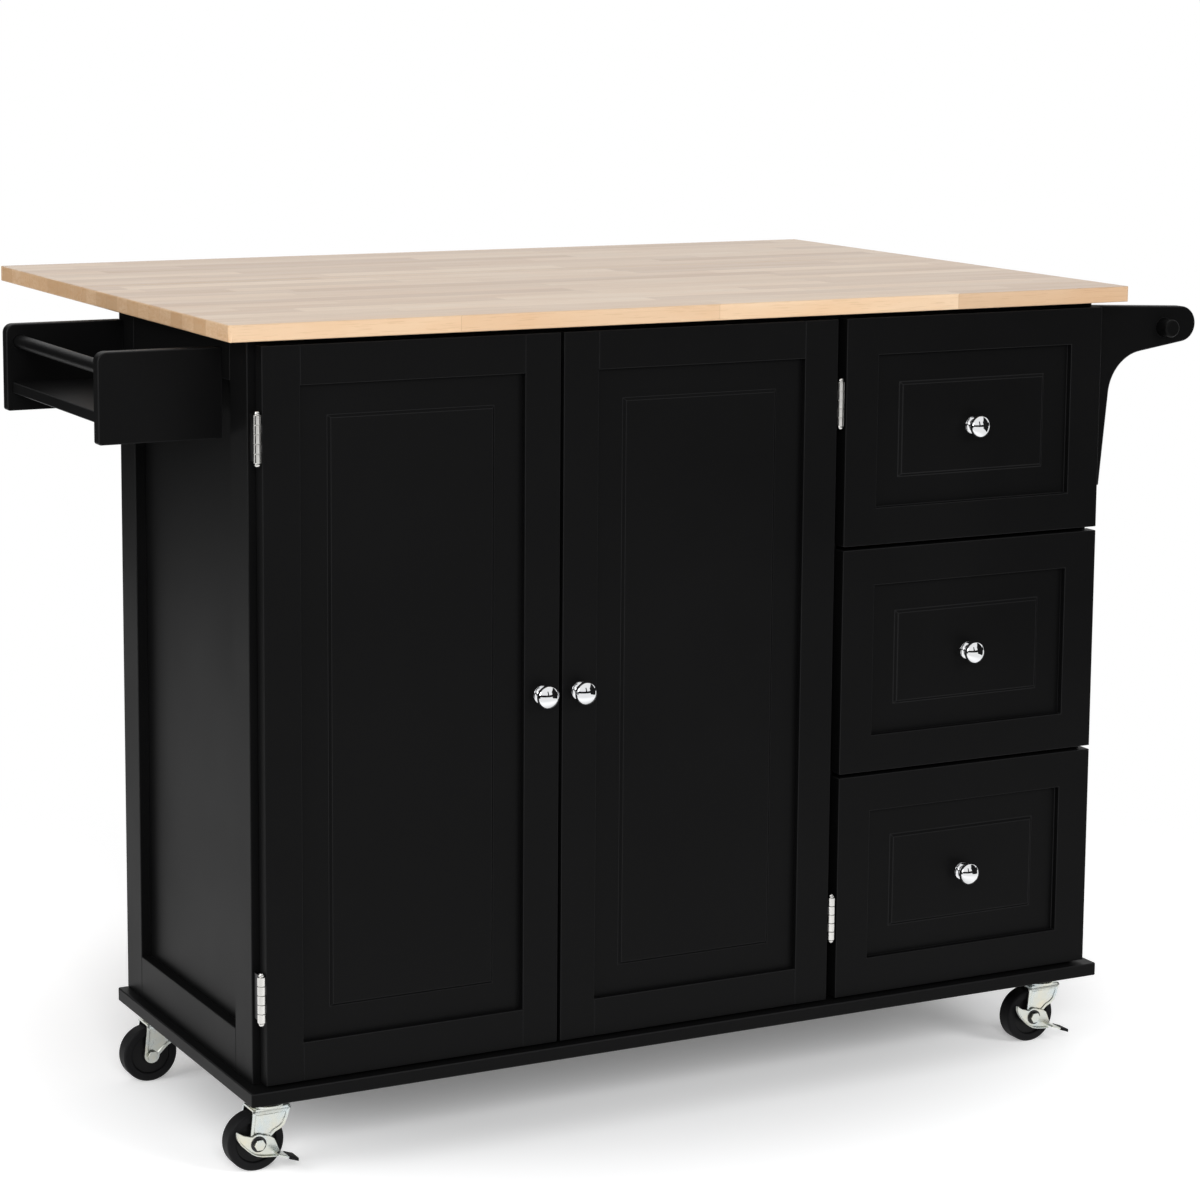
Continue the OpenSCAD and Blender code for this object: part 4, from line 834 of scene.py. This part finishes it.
def cut(base, tool, way):
    """The Boolean of two drawings, which are used up; returns a new drawing."""
    drafts = []
    for bm in (base, tool):
        bmesh.ops.recalc_face_normals(bm, faces=bm.faces)
        drafts.append(as_object(bm, "draft"))
    change = drafts[0].modifiers.new("cut", "BOOLEAN")
    change.operation, change.solver, change.object = way, "EXACT", drafts[1]
    result = bmesh.new()
    result.from_mesh(applied(drafts[0]))
    for draft in drafts:
        bpy.data.objects.remove(draft)
    return result


def draw_screw(length):
    """A screw whose head stands on the XY plane, with its shank below."""
    bm = bmesh.new()
    profile = [(0, -length), (1.2, -length + 1.5), (1.9, -length + 4), (1.9, 0), (4, 0), (4, 0.7), (3.7, 1.3),
               (2.9, 1.75), (1.6, 2.0), (0, 2.0)]
    add_lathe(bm, profile, (0, 0, 0), (0, 0, 1), sides=28)
    corner = [(CROSS_HALF, CROSS_ARM), (-CROSS_HALF, CROSS_ARM), (-CROSS_HALF, CROSS_HALF)]
    outline = []
    for turn in range(4):
        outline += corner
        corner = [(-y, x) for x, y in corner]
    cross = bmesh.new()
    add_prism(cross, outline, CROSS_FLOOR, 3, "z")
    return as_object(cut(bm, cross, "DIFFERENCE"), "screw")


def set_screws(bm, length, places, size=1.0):
    """Adds screws to a drawing; each place is a point under the head and the way the head faces."""
    screw = draw_screw(length / size)
    add_mesh(bm, grown(SCREWS, {"Screw": screw, "Size": size, "Finish": ZINC}, places))
    bpy.data.objects.remove(screw)


def joint_mm(name):
    """The place of a joint in millimetres from the cabinet's corner."""
    row = next(row for row in frame["joints"] if row["name"] == name)
    return (Vector(row["pos_m"]) - CORNER) / MM


CASTERS = {end + "_" + side: joint_mm(end + "_" + side + "_swivel") for end in ("front", "back") for side in SIDES}
BRACKETS = [joint_mm(side + "_brace_pivot") for side in SIDES]
PLATE_UNDER, PLATE_HOLES = 86.5, (-22, 22)
BRACKET_FACE, BRACKET_HOLES = 391, (881, 861, 796)
STRETCHER_Y, STRETCHER_UNDER, STRETCHER_HOLES = 30, 878, (78, 632.5, 770.5, 976)
SHORT_SCREW, LONG_SCREW = 14, 28

short_places = [((pin.x + dx, pin.y + dy, PLATE_UNDER), (0, 0, -1))
                for pin in CASTERS.values() for dx in PLATE_HOLES for dy in PLATE_HOLES]
short_places += [((pivot.x, BRACKET_FACE, z), (0, 1, 0)) for pivot in BRACKETS for z in BRACKET_HOLES]
long_places = [((x, STRETCHER_Y, STRETCHER_UNDER), (0, 0, -1)) for x in STRETCHER_HOLES]
bm = bmesh.new()
set_screws(bm, SHORT_SCREW, short_places)
set_screws(bm, LONG_SCREW, long_places)
piece = finished(in_room(bm), "cabinet_screws_drawn", "cabinet", [ZINC], ("cabinet_screws",))
print(len(short_places + long_places), "screws with", len(piece.data.polygons), "faces")
assert len(piece.data.polygons) > 1000, "the screws came out empty"

# %% [markdown]
# Each door turns on two hinges. A row of five knuckles shares one pin with a ball tip at each end; three
# knuckles belong to the cabinet's plate and two to the door's. The plates are near black, painted shade of
# the gap beside the door, so only the bright barrel shows; each is notched to clear the other's knuckles.
# Their screws are the same cross heads, a size smaller. The strike plate of the catch sits on the door too.

# %% Door hinges
HINGE_ZS = (177, 770)
HINGE_LENGTH, KNUCKLE_STEP = 50.0, 10.0
HINGE_HOLES, HINGE_SCREW, SMALL_HEAD = (9, 25, 41), 12, 0.62
PLATE_THICK, PLATE_EDGE = 1.2, 0.2
DOORS_MEET, STRIKE_OFF, STRIKE_HALF = 351.75, 15, 10


def notched(start, back, deep, notches):
    """A plate's outline in Y and Z: its front edge lies at start, and at deep beside the given knuckles."""
    fronts = [deep if k in notches else start for k in range(5)]
    outline = [(back, PLATE_EDGE), (back, HINGE_LENGTH - PLATE_EDGE), (fronts[4], HINGE_LENGTH - PLATE_EDGE)]
    for k in range(4, 0, -1):
        edge = k * KNUCKLE_STEP + (PLATE_EDGE if fronts[k - 1] == deep else -PLATE_EDGE)
        outline += [(fronts[k], edge), (fronts[k - 1], edge)]
    return outline + [(fronts[0], PLATE_EDGE)]


def add_pin(bm, foot):
    """A hinge pin with a ball tip at each end."""
    low = [(r, z - 1.2) for r, z in arc((0, 0), 3, -90, 23, 8)][1:]
    high = [(r, HINGE_LENGTH - z) for r, z in reversed(low)]
    profile = [(0, -4.2)] + low + [(2, 0), (2, HINGE_LENGTH)] + high + [(0, HINGE_LENGTH + 4.2)]
    add_lathe(bm, profile, foot, (0, 0, 1), sides=36)


def add_knuckles(bm, foot, first, count):
    """Every second knuckle of a hinge, from the first one's number upwards."""
    row = grown(KNUCKLES, {"Count": count, "Step": 2 * KNUCKLE_STEP, "Finish": NICKEL})
    middle = Vector(foot) + Vector((0, 0, (first + 0.5) * KNUCKLE_STEP))
    add_mesh(bm, row, Matrix.Translation(middle))


def add_plate(bm, outline, foot, near, far, way):
    """A plate from near to far beside the pin, on the side that way points to."""
    points = [(foot[1] + y, foot[2] + z) for y, z in outline]
    low, high = sorted((foot[0] + way * near, foot[0] + way * far))
    # Plates take the near-black steel, painted shade of the gap beside the door.
    add_prism(bm, points, low, high, axis="x", finish=1)


fixed, moving = bmesh.new(), {side: bmesh.new() for side in SIDES}
for side, way in zip(SIDES, (1, -1)):
    axis = joint_mm(side + "_door_hinge")
    for z in HINGE_ZS:
        foot = (axis.x, axis.y, z)
        add_knuckles(fixed, foot, 0, 3)
        add_pin(fixed, foot)
        add_plate(fixed, notched(4.2, 20, 5.1, (1, 3)), foot, -PLATE_THICK / 2, PLATE_THICK / 2, way)
        add_plate(fixed, rectangle(18.8, 19.9, 0.3, 49.7), foot, 0, 11.4, way)
        places = [((axis.x + way * 6.2, axis.y + 18.8, z + up), (0, -1, 0)) for up in HINGE_HOLES]
        set_screws(fixed, HINGE_SCREW, places, SMALL_HEAD)
        add_knuckles(moving[side], foot, 1, 2)
        add_plate(moving[side], notched(-1, 17, 3.5, (0, 2, 4)), foot, 3.8, 5.0, way)
        places = [((axis.x + way * 3.8, axis.y + 11, z + up), (-way, 0, 0)) for up in HINGE_HOLES]
        set_screws(moving[side], HINGE_SCREW, places, SMALL_HEAD)
    strike_x = DOORS_MEET - way * STRIKE_OFF
    add_prism(moving[side], rectangle(strike_x - STRIKE_HALF, strike_x + STRIKE_HALF, 866, 878), -3, -2)
    finished(in_room(moving[side]), side + "_door_hinge_halves", side + "_door", [NICKEL, PAINTED_SHADE_STEEL],
             (side + "_door_fittings",), sharp=40)
piece = finished(in_room(fixed), "cabinet_hinge_halves", "cabinet", [NICKEL, PAINTED_SHADE_STEEL],
                 ("door_hinges_fixed",), sharp=40)
print("hinges with", len(piece.data.polygons), "faces on the cabinet")

# %% [markdown]
# A swivel caster is a stack: a square plate with a pressed bowl, a ring of balls, a fork, and a wheel on an
# axle bolt. A kingpin with a domed head holds it together. The plate is a prism with round corners, and
# bowl and kingpin are turned, which is how such pieces are made.

# %% Caster plates and races
AXLE = Vector((-16, 0, 32))
FORK_HALF = 15.0
SHEET = 2.5


def rounded_square(half, radius, steps=5):
    inset = half - radius
    return [spot for sx, sy, turn in ((1, 1, 0), (-1, 1, 90), (-1, -1, 180), (1, -1, 270))
            for spot in arc((sx * inset, sy * inset), radius, turn, turn + 90, steps)]


bm = bmesh.new()
for pin in CASTERS.values():
    plate = [(pin.x + x, pin.y + y) for x, y in rounded_square(28, 5)]
    add_prism(bm, plate, PLATE_UNDER, 89, axis="z")
    bowl = [(0, 76), (21.4, 76), (22, 76.5), (22, 78.7), (21.5, 79.3), (19.2, 80.3), (17.6, 81.6), (17, 83.2),
            (17, PLATE_UNDER + 0.1), (0, PLATE_UNDER + 0.1)]
    add_lathe(bm, bowl, (pin.x, pin.y, 0), (0, 0, 1), sides=56)
    king = [(0, 63.7), (2.6, 63.9), (4.6, 64.5), (6, 65.6), (6, 66.7), (4, 66.7), (4, 75.9), (0, 75.9)]
    add_lathe(bm, king, (pin.x, pin.y, 0), (0, 0, 1), sides=32)
piece = finished(in_room(bm), "caster_plates_pressed", "cabinet", [ZINC], ("caster_plates",), 0.4)
print("caster plates with", len(piece.data.polygons), "faces")

# %% [markdown]
# The fork is bent from one strip of sheet. It is what a bent channel and the outline of its leg have in
# common, so a Boolean makes it with the bends already round, and its legs are then pressed in beside their
# edges. The lower race, the balls, the axle bolt and its nut turn with it.

# %% Forks
CROWN_Z, LEG_END_Z = 69.5, 18.0
BEND_OUTER, BEND_INNER = 3, 1
BALLS_Z = 74.25
HEAD_HIGH, HEAD_R, NUT_HIGH, NUT_R = 3.5, 6.5, 4.0, 7.0
LEG_OUTLINE = [(-9, 0), (-4.73, 40), (38.7, 40), (34.5, 25), (31, 17), (26, 13), (20, 10.3), (13, 4)]


def bent_channel():
    """The section of the fork's sheet in Y and Z: two legs and a crown with round bends."""
    out, inside = FORK_HALF - BEND_OUTER, FORK_HALF - SHEET
    out_z = CROWN_Z - BEND_OUTER
    outer = arc((out, out_z), BEND_OUTER, 0, 90, 6) + arc((-out, out_z), BEND_OUTER, 90, 180, 6)
    bend, bend_z = inside - BEND_INNER, CROWN_Z - SHEET - BEND_INNER
    inner = arc((-bend, bend_z), BEND_INNER, 180, 90, 4) + arc((bend, bend_z), BEND_INNER, 90, 0, 4)
    return ([(FORK_HALF, LEG_END_Z)] + outer + [(-FORK_HALF, LEG_END_Z), (-inside, LEG_END_Z)] + inner
            + [(inside, LEG_END_Z)])


def draw_fork():
    """One fork with its swivel over the origin, its legs pressed in beside the edges."""
    channel, outline = bmesh.new(), bmesh.new()
    add_prism(channel, bent_channel(), -40, 40, axis="x")
    leg = [(AXLE.x + x, AXLE.z + z) for x, z in LEG_OUTLINE]
    leg += arc((AXLE.x, AXLE.z), 9, 0, -180, 18)[:-1]
    add_prism(outline, leg, -30, 30, axis="y")
    fork = cut(channel, outline, "INTERSECT")
    bmesh.ops.dissolve_limit(fork, angle_limit=math.radians(0.5), verts=fork.verts, edges=fork.edges)
    legs = [face for face in fork.faces
            if abs(face.normal.y) > 0.99 and abs(face.calc_center_median().y) > FORK_HALF - 0.1]
    for face in legs:
        side = face.normal.copy()
        bmesh.ops.inset_individual(fork, faces=[face], thickness=3.2, use_even_offset=True)
        bmesh.ops.inset_individual(fork, faces=[face], thickness=0.8, use_even_offset=True)
        for vert in face.verts:
            vert.co -= side * 0.9
    return fork


def add_hexagon(bm, radius, low, high):
    """A hexagonal head or nut on the axle."""
    add_prism(bm, arc((AXLE.x, AXLE.z), radius, 0, 300, 5), low, high, "y")


def make_fork(name):
    """A caster's fork; on the braked ones the bolt's head leaves room for the pedal and a near-black washer,
    painted shade round the bolt.
    """
    pin, braked = CASTERS[name], name.startswith("front")
    room = 3.3 if braked else 0.3
    bm = draw_fork()
    lower = [(4.05, 69.4), (19.4, 69.4), (20, 70.0), (20, 72.1), (19.6, 72.6), (16.8, 72.6), (16.3, 73.2),
             (16.3, 75.4), (4.05, 75.4)]
    add_ring(bm, lower, (0, 0, 0), (0, 0, 1), sides=56)
    # The balls are near black, painted shade between the races.
    add_mesh(bm, grown(BALLS, {"Finish": PAINTED_SHADE_STEEL}), Matrix.Translation((0, 0, BALLS_Z)), finish=1)
    head = -FORK_HALF - room
    under_head, reach = (AXLE.x, head, AXLE.z), FORK_HALF - head
    bolt = [(0, 0), (4, 0), (4, reach + 4), (3.4, reach + 5), (0, reach + 5)]
    add_lathe(bm, bolt, under_head, (0, 1, 0), sides=32)
    add_hexagon(bm, HEAD_R, head - HEAD_HIGH, head)
    if braked:
        # The washer is near black, painted shade round the bolt's head.
        add_ring(bm, rectangle(4.05, 8.6, 0, 0.7), under_head, (0, 1, 0), sides=40, finish=1)
    add_hexagon(bm, NUT_R, FORK_HALF + 0.2, FORK_HALF + 0.2 + NUT_HIGH)
    bm.transform(Matrix.Translation((pin.x, pin.y, 0)))
    return finished(in_room(bm), name + "_fork_pressed", name + "_caster", [ZINC, PAINTED_SHADE_STEEL],
                    (name + "_fork",), 0.3, sharp=32)


for name in CASTERS:
    piece = make_fork(name)
print("forks with", len(piece.data.polygons), "faces each")

# %% [markdown]
# Tread and hub are two turned rings, as on the real wheel, where a rubber tyre is pressed onto a hub. Their
# profiles give the tyre its round shoulders and the hub its boss and the hollow between boss and rim.

# %% Wheels


def make_wheel(name):
    pin = CASTERS[name]
    bm = bmesh.new()
    side = [(4.05, 12.1), (9.5, 12.1), (10, 11.6), (10, 8.6), (10.8, 7.7), (21.4, 7.5), (22.4, 8.2), (22.8, 9.6),
            (22.8, 9.9)]
    hub = [(r, -y) for r, y in side] + [(r, y) for r, y in reversed(side)]
    add_ring(bm, hub, (AXLE.x, 0, AXLE.z), (0, 1, 0), sides=64, finish=1)
    shoulder = arc((29, 7.5), 3, 90, 0, 6)
    half = [(22.7, 9.9), (23.2, 10.3), (24, 10.5)] + shoulder + [(32, 6.5)]
    tread = [(r, -y) for r, y in half] + [(r, y) for r, y in reversed(half)]
    add_ring(bm, tread, (AXLE.x, 0, AXLE.z), (0, 1, 0), sides=96)
    bm.transform(Matrix.Translation((pin.x, pin.y, 0)))
    return finished(in_room(bm), name + "_wheel_turned", name + "_roller", [TREAD, HUB],
                    (name + "_wheel",), sharp=50)


for name in CASTERS:
    piece = make_wheel(name)
print("wheels with", len(piece.data.polygons), "faces each")

# %% [markdown]
# The two front casters have a brake: a pressed plate with a turned-up rim and a toe tab in a dark sleeve.
# Plate, rim and tab are prisms, because the real one is cut from sheet and bent.

# %% Brake pedals
PEDAL_SHEET, RIM_HIGH, RIM_THICK, TAB_WIDE = 1.8, 4.6, 1.6, 18.5
PEDAL_RIM = [(-25, 17), (-25.4, 12), (-24, 7.5), (-20, 1.5), (-14, -4.5), (-8.5, -9.3), (-3, -12.5), (4, -14.3),
             (12, -15.3), (20, -16)]
PEDAL_TOP = [(23, -14.6), (24, -11), (21, -3), (18, 4), (14, 7), (8, 9)] + arc((0, 0), 11, 55, 125, 8) + [
    (-8, 9), (-17, 12)]


def strip(points, width):
    """The outline of a band of even width along the left side of a line of points."""
    inner = []
    for k, (x, z) in enumerate(points):
        before, after = points[max(k - 1, 0)], points[min(k + 1, len(points) - 1)]
        along = Vector((after[0] - before[0], after[1] - before[1])).normalized()
        inner.append((x - along.y * width, z + along.x * width))
    return list(points) + inner[::-1]


def make_pedal(name):
    pin = CASTERS[name]
    bm = bmesh.new()
    near = -FORK_HALF - 0.5
    add_prism(bm, PEDAL_RIM + PEDAL_TOP, near - PEDAL_SHEET, near)
    add_prism(bm, strip(PEDAL_RIM, RIM_THICK), near - RIM_HIGH, near - PEDAL_SHEET + 0.1)
    add_prism(bm, [(16, -8), (16, -10.5), (38, -18.4), (38, -15.9)], near - TAB_WIDE, near)
    sleeve = [(28, -11.7), (28, -15.5), (39, -19.4), (39, -15.6)]
    add_prism(bm, sleeve, near - TAB_WIDE - 0.6, near - 1.2, finish=1)
    bm.transform(Matrix.Translation((pin.x + AXLE.x, pin.y, AXLE.z)))
    return finished(in_room(bm), name + "_brake_pressed", name + "_pedal", [ZINC, TREAD],
                    (name + "_brake",), 0.5, sharp=32)


for name in ("front_left", "front_right"):
    piece = make_pedal(name)
print("pedals with", len(piece.data.polygons), "faces each")

# %% [markdown]
# What is left is small and square: runners, leaf hinges, folding brackets, stretchers, pins and the bars.
# They keep the shapes of their CAD solids, eased like the boards.

# %% The rest of the hardware
EASED_REST = {
    "back_panel": 0.3, "top_stretchers": 0.6, "shelf_pins": 0.4, "runner_channels": 0.25, "door_catches": 0.6,
    "spice_rack_rail": 0.4, "towel_bar": 0.3, "leaf_hinges_fixed": 0.25, "leaf_hinges_moving": 0.25,
    "bracket_wall_plates": 0.3, "bracket_arms": 0.3, "left_brace": 0.3, "right_brace": 0.3,
    **{row + "_drawer_" + kind: ease for kind, ease in (("bottom", 0.3), ("runners", 0.25)) for row in DRAWERS},
}
for node, ease_mm in EASED_REST.items():
    eased(node, ease_mm)
print("eased", len(EASED_REST), "pieces of hardware")
